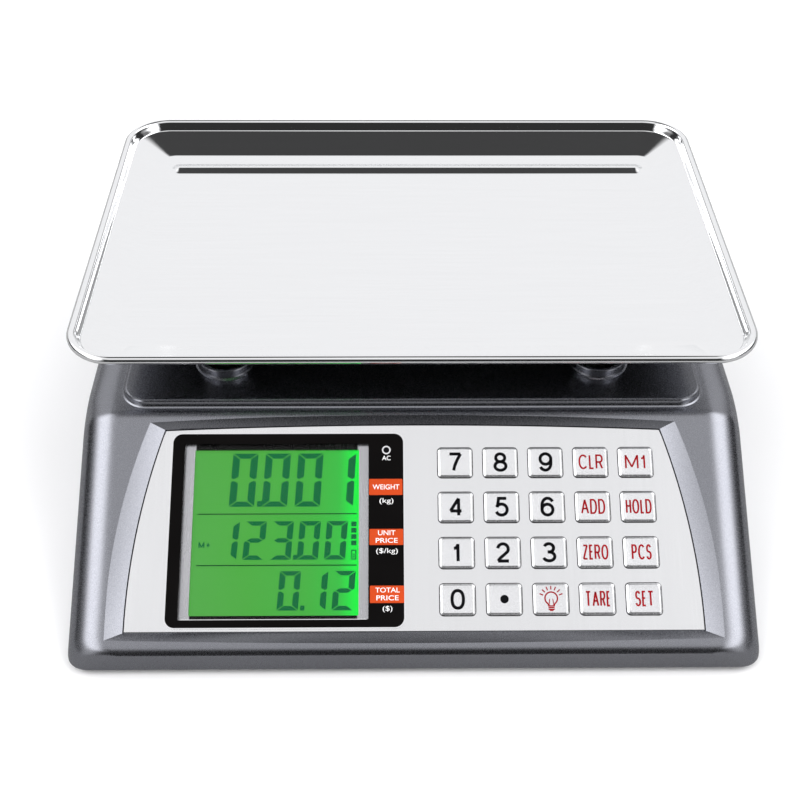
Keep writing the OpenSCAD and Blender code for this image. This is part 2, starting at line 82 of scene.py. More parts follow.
# ------------------------------------------------------------------ material helpers
class M:
    """A node material with short calls for its nodes and links."""

    def __init__(self, name):
        self.mat = bpy.data.materials.new(name)
        self.mat.use_nodes = True
        self.t = self.mat.node_tree
        self.t.nodes.clear()
        self.out = self.n("ShaderNodeOutputMaterial")
        self.b = self.n("ShaderNodeBsdfPrincipled")
        self.l(self.b, "BSDF", self.out, "Surface")
        self.co = None

    def n(self, kind, **props):
        node = self.t.nodes.new(kind)
        for k, v in props.items():
            setattr(node, k, v)
        return node

    def l(self, a, sa, b, sb):
        self.t.links.new(a.outputs[sa], b.inputs[sb])

    def set(self, **vals):
        for k, v in vals.items():
            self.b.inputs[k.replace("_", " ")].default_value = v
        return self

    def coords(self, scale=(1, 1, 1), rot=(0, 0, 0)):
        if self.co is None:
            self.co = self.n("ShaderNodeTexCoord")
        m = self.n("ShaderNodeMapping")
        m.inputs["Scale"].default_value = scale
        m.inputs["Rotation"].default_value = rot
        self.l(self.co, "Object", m, "Vector")
        return m

    def noise(self, scale, detail=3.0, rough=0.5, stretch=(1, 1, 1), rot=(0, 0, 0)):
        m = self.coords(stretch, rot)
        t = self.n("ShaderNodeTexNoise")
        t.inputs["Scale"].default_value = scale
        t.inputs["Detail"].default_value = detail
        t.inputs["Roughness"].default_value = rough
        self.l(m, "Vector", t, "Vector")
        return t

    def voronoi(self, scale, stretch=(1, 1, 1)):
        m = self.coords(stretch)
        t = self.n("ShaderNodeTexVoronoi")
        t.inputs["Scale"].default_value = scale
        self.l(m, "Vector", t, "Vector")
        return t

    def ramp(self, src, sock, stops):
        r = self.n("ShaderNodeValToRGB")
        while len(r.color_ramp.elements) < len(stops):
            r.color_ramp.elements.new(0.5)
        for e, (p, c) in zip(r.color_ramp.elements, stops):
            e.position = p
            e.color = (*c, 1) if len(c) == 3 else c
        self.l(src, sock, r, "Fac")
        return r

    def span(self, src, sock, lo, hi, f0=0.0, f1=1.0):
        r = self.n("ShaderNodeMapRange")
        r.inputs["From Min"].default_value = f0
        r.inputs["From Max"].default_value = f1
        r.inputs["To Min"].default_value = lo
        r.inputs["To Max"].default_value = hi
        self.l(src, sock, r, "Value")
        return r

    def bump(self, src, sock, strength, dist, base=None):
        b = self.n("ShaderNodeBump")
        b.inputs["Strength"].default_value = strength
        b.inputs["Distance"].default_value = dist
        self.l(src, sock, b, "Height")
        if base is not None:
            self.l(base, "Normal", b, "Normal")
        self.l(b, "Normal", self.b, "Normal")
        return b


def g(v, tint=(1, 1, 1)):
    return tuple(v * t for t in tint)


def speckled(name, c0, c1, metallic, rough, coat, flake=2600.0, bump=0.05, coat_rough=0.06):
    """Moulded plastic with fine metallic flakes."""
    m = M(name)
    m.set(Metallic=metallic, Coat_Weight=coat, Coat_Roughness=coat_rough)
    v = m.voronoi(flake)
    sep = m.n("ShaderNodeSeparateColor")
    m.l(v, "Color", sep, "Color")
    cloud = m.noise(14.0, 2.0)
    r = m.ramp(sep, "Red", [(0.0, c0), (0.62, g(0.5, [a + b for a, b in zip(c0, c1)])), (1.0, c1)])
    mix = m.n("ShaderNodeMix", data_type="RGBA", blend_type="MULTIPLY")
    mix.inputs["Factor"].default_value = 1.0
    cr = m.ramp(cloud, "Fac", [(0.3, (0.95, 0.95, 0.96)), (0.7, (1.0, 1.0, 1.0))])
    m.l(r, "Color", mix, "A")
    m.l(cr, "Color", mix, "B")
    m.l(mix, "Result", m.b, "Base Color")
    rr = m.span(sep, "Green", rough - 0.05, rough + 0.07)
    m.l(rr, "Result", m.b, "Roughness")
    fine = m.noise(1800.0, 2.0)
    b1 = m.bump(fine, "Fac", bump, 0.00004)
    m.bump(sep, "Blue", bump * 0.6, 0.00003, b1)
    return m.mat


def plain_plastic(name, col, rough, bump_scale=1400.0, bump=0.12, var=0.12, metallic=0.0, coat=0.0, spec=0.5, glow=None):
    """Moulded plastic or rubber with fine surface texture and slight colour and gloss variation."""
    m = M(name)
    m.set(Metallic=metallic, Coat_Weight=coat, Coat_Roughness=0.05, Specular_IOR_Level=spec)
    n1 = m.noise(bump_scale, 3.0)
    n2 = m.noise(22.0, 3.0)
    c = m.ramp(n2, "Fac", [(0.3, tuple(x * (1 - var) for x in col)), (0.7, tuple(min(1, x * (1 + var)) for x in col))])
    m.l(c, "Color", m.b, "Base Color")
    rr = m.span(n2, "Fac", rough - 0.04, rough + 0.06, 0.3, 0.7)
    m.l(rr, "Result", m.b, "Roughness")
    m.bump(n1, "Fac", bump, 0.00005)
    if glow:
        m.set(Emission_Color=(*glow, 1), Emission_Strength=1.0)
    return m.mat


def brushed(name, col, rough, stretch, scale=900.0, amount=0.06, bump=0.10, metallic=1.0, rot=(0, 0, 0), rough_var=0.08):
    """Metal with fine lines along one direction."""
    m = M(name)
    m.set(Metallic=metallic)
    fine = m.noise(scale, 4.0, 0.65, stretch, rot)
    wide = m.noise(scale * 0.16, 3.0, 0.55, stretch, rot)
    c1 = m.ramp(fine, "Fac", [(0.28, tuple(x * (1 - amount) for x in col)), (0.72, tuple(min(1, x * (1 + amount)) for x in col))])
    c2 = m.ramp(wide, "Fac", [(0.3, (1 - amount * 0.6,) * 3), (0.7, (1, 1, 1))])
    mix = m.n("ShaderNodeMix", data_type="RGBA", blend_type="MULTIPLY")
    mix.inputs["Factor"].default_value = 1.0
    m.l(c1, "Color", mix, "A")
    m.l(c2, "Color", mix, "B")
    m.l(mix, "Result", m.b, "Base Color")
    rr = m.span(fine, "Fac", max(0.02, rough - rough_var), rough + rough_var, 0.3, 0.7)
    m.l(rr, "Result", m.b, "Roughness")
    m.bump(fine, "Fac", bump, 0.00002)
    return m.mat


# ------------------------------------------------------------------ materials
housing_m = speckled("pearl_grey_plastic", (0.225, 0.230, 0.252), (0.325, 0.330, 0.355), 1.0, 0.235, 0.0, 6500.0, 0.03)
base_m = plain_plastic("base_plastic", (0.045, 0.046, 0.05), 0.55, 900.0, 0.35)
plate_m = brushed("brushed_face_plate", (0.84, 0.843, 0.85), 0.22, (1.0, 0.012, 0.012), 1500.0, 0.018, 0.03, rough_var=0.04)
tray_m = brushed("polished_tray_steel", (0.93, 0.935, 0.94), 0.075, (0.02, 1.0, 1.0), 1100.0, 0.012, 0.012, rough_var=0.015)
black_m = plain_plastic("gloss_black", (0.0035, 0.003, 0.003), 0.16, 600.0, 0.01, 0.2, spec=0.03)
trim_m = brushed("bright_trim", (0.88, 0.88, 0.89), 0.16, (1, 0.05, 0.05), 700.0, 0.03, 0.03)
frame_m = brushed("silver_inner_frame", (0.56, 0.56, 0.58), 0.26, (0.05, 1.0, 1.0), 900.0, 0.04, 0.05, metallic=0.85)
key_m = speckled("key_silver_paint", (0.78, 0.782, 0.79), (0.86, 0.862, 0.87), 0.85, 0.22, 0.1, 7000.0, 0.015)
# dark grey for the key sides: painted shade and dark reflection along the keys' lower edges
key_side_shade_m = plain_plastic("key_side_painted_shade", (0.035, 0.036, 0.038), 0.35, 1200.0, 0.05, 0.1, spec=0.3)
key_black_m = plain_plastic("print_black", (0.004, 0.004, 0.005), 0.5, 2500.0, 0.05, spec=0.04)
key_red_m = plain_plastic("print_red", (0.30, 0.008, 0.012), 0.5, 2500.0, 0.05, spec=0.04)
orange_m = plain_plastic("label_orange", (0.56, 0.062, 0.012), 0.45, 1800.0, 0.04, 0.05, spec=0.08)
white_m = plain_plastic("print_white", (0.88, 0.88, 0.88), 0.45, 2500.0, 0.04, 0.04)
rubber_m = plain_plastic("black_rubber", (0.022, 0.022, 0.024), 0.62, 1100.0, 0.35, 0.25)
cup_m = plain_plastic("cup_rubber_mat", (0.030, 0.032, 0.040), 0.30, 800.0, 0.08, 0.2, coat=0.3)
cast_m = plain_plastic("cast_alloy_mat", (0.55, 0.56, 0.58), 0.45, 700.0, 0.5, 0.08, metallic=1.0)
bolt_m = brushed("zinc_steel", (0.62, 0.62, 0.60), 0.30, (1, 1, 0.1), 1200.0, 0.08, 0.06)
painted_m = plain_plastic("dark_painted_steel", (0.06, 0.065, 0.07), 0.40, 900.0, 0.2, 0.1)
pcb_m = plain_plastic("circuit_board_green", (0.015, 0.16, 0.06), 0.35, 1000.0, 0.1, 0.2)
mat_m = plain_plastic("silicone_mat", (0.045, 0.046, 0.05), 0.6, 900.0, 0.2, 0.06, spec=0.2)
lead_m = plain_plastic("red_lead", (0.45, 0.02, 0.02), 0.45)
cable_m = plain_plastic("grey_cable", (0.28, 0.28, 0.29), 0.5)
vial_m = plain_plastic("level_vial", (0.42, 0.72, 0.08), 0.12, 400.0, 0.01, 0.1, coat=0.5)
digit_m = plain_plastic("segment_dark", (0.003, 0.035, 0.014), 0.5, 1200.0, 0.02, 0.1, spec=0.02, glow=(0.004, 0.105, 0.028))
rule_m = plain_plastic("rule_dark", (0.002, 0.012, 0.006), 0.5, 1200.0, 0.02, 0.1, spec=0.02, glow=(0.002, 0.028, 0.009))


def frame_with_painted_shade(name, src, x0, x1):
    """Silver frame with bright bars at both sides; everything between them is painted satin black as shade cast by the
    bezel over the top and bottom bars.
    """
    m = M(name)
    co = m.n("ShaderNodeTexCoord")
    sep = m.n("ShaderNodeSeparateXYZ")
    m.l(co, "Object", sep, "Vector")
    t = m.span(sep, "X", 0.0, 1.0, x0, x1)
    # painted shade: black between the side bars, where the bezel shades the frame
    r = m.ramp(t, "Result", [(0.0, src), (0.080, src), (0.082, (0.006, 0.006, 0.006)), (0.917, (0.006, 0.006, 0.006)), (0.919, src), (1.0, src)])
    n = m.noise(700.0, 3.0, 0.5, (1.0, 0.05, 0.05))
    f = m.ramp(n, "Fac", [(0.3, (0.93, 0.93, 0.93)), (0.7, (1, 1, 1))])
    mix = m.n("ShaderNodeMix", data_type="RGBA", blend_type="MULTIPLY")
    mix.inputs["Factor"].default_value = 1.0
    m.l(r, "Color", mix, "A")
    m.l(f, "Color", mix, "B")
    m.l(mix, "Result", m.b, "Base Color")
    m.set(Metallic=0.9, Roughness=0.25)
    rr = m.span(n, "Fac", 0.2, 0.3, 0.3, 0.7)
    m.l(rr, "Result", m.b, "Roughness")
    m.bump(n, "Fac", 0.03, 0.00003)
    return m.mat


def lit_green(name, x0, x1, strength):
    """Lit display glass: green that glows brighter towards its right end."""
    m = M(name)
    m.set(Base_Color=(0.012, 0.05, 0.014, 1), Roughness=0.5, Emission_Strength=strength, Specular_IOR_Level=0.04)
    co = m.n("ShaderNodeTexCoord")
    sep = m.n("ShaderNodeSeparateXYZ")
    m.l(co, "Object", sep, "Vector")
    t = m.span(sep, "X", 0.0, 1.0, x0, x1)
    r = m.ramp(t, "Result", [(0.0, (0.082, 0.375, 0.060)), (0.35, (0.070, 0.385, 0.045)), (0.70, (0.055, 0.42, 0.045)),
                             (0.88, (0.035, 0.50, 0.050)), (0.95, (0.010, 0.80, 0.055)), (1.0, (0.0, 1.0, 0.055))])
    n = m.noise(900.0, 2.0)
    mix = m.n("ShaderNodeMix", data_type="RGBA", blend_type="MULTIPLY")
    mix.inputs["Factor"].default_value = 1.0
    gr = m.ramp(n, "Fac", [(0.3, (0.93, 0.93, 0.93)), (0.7, (1, 1, 1))])
    m.l(r, "Color", mix, "A")
    m.l(gr, "Color", mix, "B")
    m.l(mix, "Result", m.b, "Emission Color")
    m.bump(n, "Fac", 0.02, 0.00002)
    return m.mat


lcd_m = lit_green("lit_display_green", -0.110, -0.0265, 0.92)
lcd_frame_shade_m = frame_with_painted_shade("display_frame_painted_shade", (0.50, 0.50, 0.52), -0.1145, -0.0195)
rear_lcd_m = lit_green("lit_rear_green", -0.075, 0.075, 0.8)
backlight_m = plain_plastic("light_guide", (0.35, 0.8, 0.4), 0.3)

window = M("clear_window")
window.t.nodes.remove(window.b)
w_clear = window.n("ShaderNodeBsdfTransparent")
w_gloss = window.n("ShaderNodeBsdfGlossy")
w_gloss.inputs["Roughness"].default_value = 0.03
w_mix = window.n("ShaderNodeMixShader")
w_noise = window.noise(35.0, 3.0)
w_fac = window.span(w_noise, "Fac", 0.003, 0.007, 0.3, 0.7)
window.l(w_fac, "Result", w_mix, "Fac")
window.t.links.new(w_clear.outputs["BSDF"], w_mix.inputs[1])
window.t.links.new(w_gloss.outputs["BSDF"], w_mix.inputs[2])
window.l(w_mix, "Shader", window.out, "Surface")
window_m = window.mat


# ------------------------------------------------------------------ mesh helpers
def make(name, verts, faces, mat, smooth=True, sharp=32.0, fix=False):
    me = bpy.data.meshes.new(name)
    me.from_pydata([tuple(v) for v in verts], [], faces)
    if fix:
        bm = bmesh.new()
        bm.from_mesh(me)
        bmesh.ops.remove_doubles(bm, verts=bm.verts, dist=1e-7)
        bmesh.ops.recalc_face_normals(bm, faces=bm.faces)
        bm.to_mesh(me)
        bm.free()
    me.update()
    ob = bpy.data.objects.new(name, me)
    SC.collection.objects.link(ob)
    if mat is not None:
        me.materials.append(mat)
    if smooth:
        shade(ob, sharp)
    return ob


def shade(ob, sharp=32.0):
    me = ob.data
    me.polygons.foreach_set("use_smooth", [True] * len(me.polygons))
    me.set_sharp_from_angle(angle=math.radians(sharp))
    me.update()


def rounded(hx, hy, r, n=8, cx=0.0, cy=0.0):
    """Points of a rectangle with rounded corners, counter-clockwise."""
    pts = []
    for sx, sy, a0 in ((1, 1, 0), (-1, 1, 90), (-1, -1, 180), (1, -1, 270)):
        for i in range(n + 1):
            a = math.radians(a0 + 90.0 * i / n)
            pts.append((cx + sx * (hx - r) + r * math.cos(a), cy + sy * (hy - r) + r * math.sin(a)))
    return pts


def loft(loops, closed_ring=False):
    """Faces between equal loops of 3D points, with caps unless the loops close on themselves."""
    n = len(loops[0])
    verts = [p for lp in loops for p in lp]
    faces = []
    m = len(loops)
    for k in range(m if closed_ring else m - 1):
        a, b = k * n, ((k + 1) % m) * n
        for i in range(n):
            j = (i + 1) % n
            faces.append((a + i, a + j, b + j, b + i))
    if not closed_ring:
        faces.append(tuple(range(n - 1, -1, -1)))
        faces.append(tuple((m - 1) * n + i for i in range(n)))
    return verts, faces


def prism(name, pts, z0, z1, mat=None, matrix=None, smooth=True):
    """Outline in the XY plane (mm) extruded from z0 to z1 (mm), then placed by matrix."""
    mtx = matrix or Matrix.Identity(4)
    loops = [[mtx @ Vector((x * MM, y * MM, z * MM)) for x, y in pts] for z in (z0, z1)]
    v, f = loft(loops)
    return make(name, v, f, mat, smooth, fix=True)


def lathe(name, profile, centre, mat, n=64, matrix=None):
    """Closed ring profile [(r, z)] in mm, turned about a vertical axis through centre (mm)."""
    mtx = matrix or Matrix.Identity(4)
    loops = []
    for i in range(n):
        a = 2 * math.pi * i / n
        loops.append([mtx @ Vector(((centre[0] + r * math.cos(a)) * MM, (centre[1] + r * math.sin(a)) * MM, z * MM)) for r, z in profile])
    v, f = loft(loops, closed_ring=True)
    return make(name, v, f, mat, fix=True)


def evaluated_mesh(ob):
    dg = bpy.context.evaluated_depsgraph_get()
    return bpy.data.meshes.new_from_object(ob.evaluated_get(dg), preserve_all_data_layers=True, depsgraph=dg)


def boolean(ob, tools, op="DIFFERENCE"):
    """Applies each tool to the object in turn and removes the tool."""
    for tool in tools:
        md = ob.modifiers.new("cut", "BOOLEAN")
        md.operation = op
        md.object = tool
        md.solver = "EXACT"
        me = evaluated_mesh(ob)
        old = ob.data
        ob.modifiers.clear()
        ob.data = me
        bpy.data.meshes.remove(old)
        bpy.data.objects.remove(tool)


def soften(ob, width, segs=2, angle=35.0, weighted=True):
    """Small rounded edges, with normals that keep the flat faces flat."""
    b = ob.modifiers.new("edges", "BEVEL")
    b.width = width * MM
    b.segments = segs
    b.limit_method = "ANGLE"
    b.angle_limit = math.radians(angle)
    b.use_clamp_overlap = True
    b.harden_normals = False
    if weighted:
        w = ob.modifiers.new("normals", "WEIGHTED_NORMAL")
        w.keep_sharp = True
        w.weight = 80


def text_mesh(name, body, width, height, place, mat, depth=0.06, bold=0.0, body_name="root", spacing=1.0):
    """Lettering as a thin raised mesh, sized to width and height (mm), centred on place's XY plane."""
    cu = bpy.data.curves.new(name + "_c", "FONT")
    cu.body = body
    cu.size = 1.0
    cu.resolution_u = 5
    cu.offset = bold
    cu.space_character = spacing
    cu.extrude = 0.5
    tmp = bpy.data.objects.new(name + "_t", cu)
    SC.collection.objects.link(tmp)
    bpy.context.view_layer.update()
    me = evaluated_mesh(tmp)
    bpy.data.objects.remove(tmp)
    bpy.data.curves.remove(cu)
    xs = [v.co.x for v in me.vertices]
    ys = [v.co.y for v in me.vertices]
    cx, cy = (min(xs) + max(xs)) / 2, (min(ys) + max(ys)) / 2
    sx = width / (max(xs) - min(xs)) if width else height / (max(ys) - min(ys))
    sy = height / (max(ys) - min(ys)) if height else sx
    for v in me.vertices:
        p = Vector(((v.co.x - cx) * sx * MM, (v.co.y - cy) * sy * MM, (v.co.z + 0.5) * depth * MM))
        v.co = place @ p
    me.name = name
    me.materials.clear()
    me.materials.append(mat)
    ob = bpy.data.objects.new(name, me)
    SC.collection.objects.link(ob)
    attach(ob, body_name)
    return ob


# ------------------------------------------------------------------ housing shell
HW, HD, BASE = 165.0, 166.0, 4.2
TAN = math.tan(TILT)
DECK = 76.0
A = 20.0
PY, PZ = -113.76, 43.2
REC = 3.5


def slope_z(y):
    return PZ + REC / math.cos(TILT) + TAN * (y - PY)


EDGE_Y = PY + (DECK - PZ - REC / math.cos(TILT)) / TAN
BEND_Y = EDGE_Y + 7.0 / TAN


def centre_z(y):
    b = 2.6
    if y < EDGE_Y - b:
        z = slope_z(y)
        f = 2.6
        if y < -HD + f:
            q = (f - (y + HD)) / f
            z -= 2.2 * (1 - math.sqrt(max(0.0, 1 - q * q)))
        return z
    if y < EDGE_Y + b:
        return DECK - TAN * (EDGE_Y + b - y) ** 2 / (4 * b)
    if y < HD - 14:
        return DECK
    return DECK - 14 + math.sqrt(max(0.0, 196 - (y - HD + 14) ** 2))


def side_z(y):
    if y < BEND_Y - 14:
        return slope_z(y) - 17
    if y < BEND_Y + 14:
        return DECK - 10 - TAN * (BEND_Y + 14 - y) ** 2 / 56
    if y < HD - 22:
        return DECK - 10
    return DECK - 32 + math.sqrt(max(0.0, 484 - (y - HD + 22) ** 2))


def rib(y, w, t, z0):
    """One closed cross-section of the shell, from the left foot over the top to the right foot."""
    zc = centre_z(y) - t * 1.15
    zs = side_z(y) - t
    lowest = z0 + 0.05
    phi = math.pi / 2
    if zs < lowest:
        phi = math.acos(min(1.0, max(0.0, (lowest - zs) / (zc - zs))))
    n_arc, n_top, n_side = 16, 30, 6
    right = []
    x_edge = w - A + A * math.sin(phi)
    z_edge = max(lowest, zs)
    for i in range(n_side):
        right.append((x_edge, z0 + (z_edge - z0) * i / n_side))
    for i in range(n_arc):
        p = phi * (1 - i / n_arc)
        right.append((w - A + A * math.sin(p), zs + (zc - zs) * math.cos(p)))
    top = [((w - A) * (1 - 2 * i / n_top), zc) for i in range(n_top + 1)]
    pts = right + top + [(-x, z) for x, z in reversed(right)]
    return [Vector((x * MM, y * MM, z * MM)) for x, z in pts]


def shell_form(name, t, z0, mat):
    r = 9 - t
    ys = []
    for i in range(9):
        a = math.radians(90 * i / 8)
        ys.append((-HD + t + r * (1 - math.cos(a)), HW - t - r * (1 - math.sin(a))))
    y = -HD + t + r
    fine = [EDGE_Y - 2.6 + 5.2 * i / 6 for i in range(7)] + [BEND_Y - 14 + 28 * i / 10 for i in range(11)]
    coarse = [y + 5 + i * 6.0 for i in range(60)]
    mid = sorted(set(round(v, 3) for v in fine + coarse if y + 1 < v < HD - t - 23))
    # drop stations closer than 1 mm to each other
    kept = []
    for v in mid:
        if not kept or v - kept[-1] > 0.8:
            kept.append(v)
    ys += [(v, HW - t) for v in kept]
    ys += [(HD - 22, HW - t), (HD - 19, HW - t), (HD - 16, HW - t), (HD - 14, HW - t), (HD - 12, HW - t)]
    for i in range(9):
        a = math.radians(90 * (8 - i) / 8)
        yy, ww = HD - t - r * (1 - math.cos(a)), HW - t - r * (1 - math.sin(a))
        if yy > HD - 11.5:
            ys.append((yy, ww))
    loops = [rib(v, w, t, z0) for v, w in ys]
    verts, faces = loft(loops)
    return make(name, verts, faces, mat, fix=True)


def recess_w(s):
    return 145.5 if s < -39 else 145.5 - 0.0019 * (s + 39) ** 2


def plate_w(s):
    return 137 - 0.00156 * (s + 48) ** 2


def outline(width, bottom, top, s0, s1, nx=24, ns=20):
    """Closed outline from a half-width rule and top and bottom rules."""
    wb, wt = width(s0), width(s1)
    pts = [(-wb + 2 * wb * i / nx, bottom(-1 + 2 * i / nx)) for i in range(nx)]
    pts += [(width(s0 + (s1 - s0) * i / ns), s0 + (s1 - s0) * i / ns) for i in range(ns)]
    pts += [(wt - 2 * wt * i / nx, top(1 - 2 * i / nx)) for i in range(nx)]
    pts += [(-width(s1 - (s1 - s0) * i / ns), s1 - (s1 - s0) * i / ns) for i in range(ns)]
    return pts


def band(k, grow=0.0):
    """Outline between the face plate's edge (k=0) and the recess's outer edge (k=1)."""
    p = outline(lambda s: plate_w(s) + 0.6, lambda u: -48.6, lambda u: 53.1 - 2.6 * u * u, -48.6, 50.5)
    q = outline(recess_w, lambda u: -54.0 + 1.8 * u * u, lambda u: 57.2 - 3.8 * u * u, -52.2, 53.4)
    return [(a[0] + (b[0] - a[0]) * k, a[1] + (b[1] - a[1]) * k) for a, b in zip(p, q)]


shell = shell_form("shell_upper", 0.0, BASE, housing_m)
inner = shell_form("shell_inner", 2.4, BASE - 3, None)
boolean(shell, [inner])
# thickened floor below the panel
pad = prism("pad", [(x * 0.99, s * 0.985) for x, s in band(1.0)], -3.0, 1.6, None, PAN)
boolean(shell, [pad], "UNION")
TY = 165.9 - 115.0
# raised platform with a soft foot and top edge
plat = []
for d, z in ((-2.2, 75.0), (-2.2, 76.02), (-1.2, 76.15), (-0.5, 76.6), (-0.1, 77.3), (0.0, 78.2), (0.15, 79.0), (0.6, 79.6), (1.3, 79.92), (2.2, 80.0)):
    plat.append([Vector((x * MM, (y + TY) * MM, z * MM)) for x, y in rounded(144.5 - d, 111.8 - d, 12.5 - d, 10)])
v, f = loft(plat)
slab = make("slab", v, f, None, fix=True)
boolean(shell, [slab], "UNION")
POSTS = [(sx * 95.0, TY + sy * 81.0) for sx in (-1, 1) for sy in (-1, 1)]
for px, py in POSTS:
    ring = lathe("ring", [(12.5, 72.0), (12.5, 84.5), (12.7, 84.9), (13.1, 85.0), (13.9, 85.0), (14.35, 84.8), (14.6, 84.3), (14.6, 81.3), (14.9, 80.5), (15.6, 80.1), (16.4, 79.6), (16.4, 72.0)], (px, py), None, 56)
    hole = lathe("hole", [(0.001, 60.0), (0.001, 92.0), (12.5, 92.0), (12.5, 60.0)], (px, py), None, 56)
    boolean(shell, [hole])
    boolean(shell, [ring], "UNION")
# panel recess: sloped margins down to the face plate
cut = []
for k, n in ((-0.02, -2.3), (0.0, 0.2), (0.5, 1.93), (1.0, 3.5), (1.9, 6.8)):
    cut.append([on_panel(x, s, n) for x, s in band(k)])
v, f = loft(cut)
recess_tool = make("recess_tool", v, f, None, fix=True)
tools = [recess_tool]
tools.append(prism("t_keys", rounded(56.2, 44.6, 3, 4, 64.8, 0.0), -12, 4, None, PAN))
tools.append(prism("t_disp", rounded(54.0, 45.8, 2, 4, -62.0, 1.0), -12, 4, None, PAN))
BACK = Matrix.Translation((0, HD * MM, 0)) @ Matrix.Rotation(math.pi / 2, 4, "X")
tools.append(prism("t_rear", rounded(75.2, 19.2, 3, 6, 0.0, 39.0), -6, 10, None, BACK))
tools.append(prism("t_inlet", rounded(15.7, 11.7, 2, 6, -118.0, 26.0), -6, 10, None, BACK))
tools.append(prism("t_switch", rounded(12.2, 9.2, 1.5, 6, 118.0, 26.0), -6, 10, None, BACK))
tools.append(lathe("t_level", [(0.001, 60.0), (0.001, 92.0), (8.3, 92.0), (8.3, 60.0)], (122.0, 60.0), None, 40))
boolean(shell, tools)
bm = bmesh.new()
bm.from_mesh(shell.data)
bmesh.ops.remove_doubles(bm, verts=bm.verts, dist=2e-6)
bmesh.ops.dissolve_degenerate(bm, dist=2e-6, edges=bm.edges)
bmesh.ops.recalc_face_normals(bm, faces=bm.faces)
bm.to_mesh(shell.data)
bm.free()
shell.data.materials.clear()
shell.data.materials.append(housing_m)
shade(shell, 13)
soften(shell, 0.45, 2, 15)
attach(shell, "root")
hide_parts("top_housing")

# ------------------------------------------------------------------ weighing tray
TW, TD = 170.0, 115.0


def tray_loop(d, z):
    r = 25 - d if d < 6 else max(4.0, 19 - (d - 6) * 15 / 20.5)
    return [Vector((x * MM, (y + TY) * MM, z * MM)) for x, y in rounded(TW - d, TD - d, r, 14)]


prof = [(26.9, 98.0), (26.1, 98.02), (25.3, 98.12), (24.4, 98.33)]
for i in range(1, 8):
    k = i / 8
    prof.append((24.4 + (7.0 - 24.4) * k, 98.33 + (103.93 - 98.33) * k))
prof += [(7.0, 103.93), (6.45, 104.13), (6.15, 104.42), (5.9, 104.95), (5.45, 105.9), (5.0, 106.75), (4.55, 107.4)]
for i in range(0, 20):
    a = math.radians(165 - i * 13.5)
    prof.append((2.2 - 2.2 * math.cos(a), 107.3 + 2.2 * math.sin(a)))
# the roll tucks in under the rim, then the underside follows the margin back to the floor
prof += [(3.3, 104.9), (4.3, 105.1), (5.0, 104.7), (5.6, 103.9), (6.4, 103.2), (7.6, 102.7)]
for i in range(1, 6):
    k = i / 6
    prof.append((7.6 + (24.6 - 7.6) * k, 102.7 + (97.3 - 102.7) * k))
prof += [(24.6, 97.3), (25.8, 97.05), (26.9, 97.0)]
# d is measured from the outer edge: mirror the bead angles so that the roll goes outward
loops = []
for d, z in prof:
    loops.append(tray_loop(max(0.0, d), z))
v, f = loft(loops)
tray = make("tray_pressing", v, f, tray_m, sharp=80, fix=True)
w = tray.modifiers.new("normals", "WEIGHTED_NORMAL")
w.weight = 70
w.keep_sharp = True
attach(tray, "tray")
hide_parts("weighing_tray")

# pressed rib near the back of the floor
rib_v, rib_f = [], []
RX, RY, RR, RH = 136.0, 125.5, 5.9, 1.55
dists = [RR * i / 10 for i in range(11)]
stad = []
for dd in dists:
    loop = []
    for sx, a0 in ((1, -90), (-1, 90)):
        for i in range(17):
            a = math.radians(a0 + 180 * i / 16)
            loop.append((sx * RX + dd * math.cos(a), RY + dd * math.sin(a)))
    h = RH * (0.5 + 0.5 * math.cos(math.pi * dd / RR))
    stad.append([Vector((x * MM, y * MM, (98.0 + h - (0.05 if dd == RR else 0.0)) * MM)) for x, y in loop])
n = len(stad[0])
verts = [p for lp in stad for p in lp]
faces = []
for k in range(len(stad) - 1):
    for i in range(n):
        j = (i + 1) % n
        faces.append((k * n + i, (k + 1) * n + i, (k + 1) * n + j, k * n + j))
low = [Vector((p.x, p.y, 97.6 * MM)) for p in stad[-1]]
base_i = len(verts)
verts += low
for i in range(n):
    j = (i + 1) % n
    faces.append(((len(stad) - 1) * n + i, base_i + i, base_i + j, (len(stad) - 1) * n + j))
faces.append(tuple(base_i + i for i in range(n - 1, -1, -1)))
tray_rib = make("tray_rib", verts, faces, tray_m, sharp=60, fix=True)
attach(tray_rib, "tray")

# ------------------------------------------------------------------ keys
KEYS = ["7", "8", "9", "clr", "m1", "4", "5", "6", "add", "hold", "1", "2", "3", "zero", "pcs", "0", "dot", "light", "tare", "set"]


def key_mesh(name, cx, cy):
    """Cap with bevelled top and slightly dished face, flange and stem, as one closed form."""
    lv = [(-6.4, 2.9, 2.9, 2.85), (-4.45, 3.0, 3.0, 2.95), (-4.4, 10.0, 9.1, 2.0), (-3.25, 10.0, 9.1, 2.0),
          (-3.2, 8.5, 7.6, 2.0), (0.55, 8.45, 7.55, 1.95), (0.85, 8.36, 7.46, 1.9), (1.38, 7.62, 6.72, 1.5),
          (1.5, 7.36, 6.46, 1.4), (1.44, 6.9, 6.0, 1.2), (1.36, 5.2, 4.4, 0.9), (1.33, 2.8, 2.2, 0.6)]
    loops = []
    for z, hx, hy, r in lv:
        loops.append([on_panel(cx + x, cy + y, z) for x, y in rounded(hx, hy, r, 6)])
    v, f = loft(loops)
    ob = make(name, v, f, key_m, sharp=34, fix=True)
    # side faces below the top edge take the dark material: painted shade and reflection on the keys' edges
    ob.data.materials.append(key_side_shade_m)
    up = PAN.to_3x3() @ Vector((0, 0, 1))
    edge = on_panel(0, 0, 0.6).dot(up)
    for poly in ob.data.polygons:
        if poly.center.dot(up) < edge:
            poly.material_index = 1
    return ob


def panel_at(x, s, n):
    return PAN @ Matrix.Translation((x * MM, s * MM, n * MM))


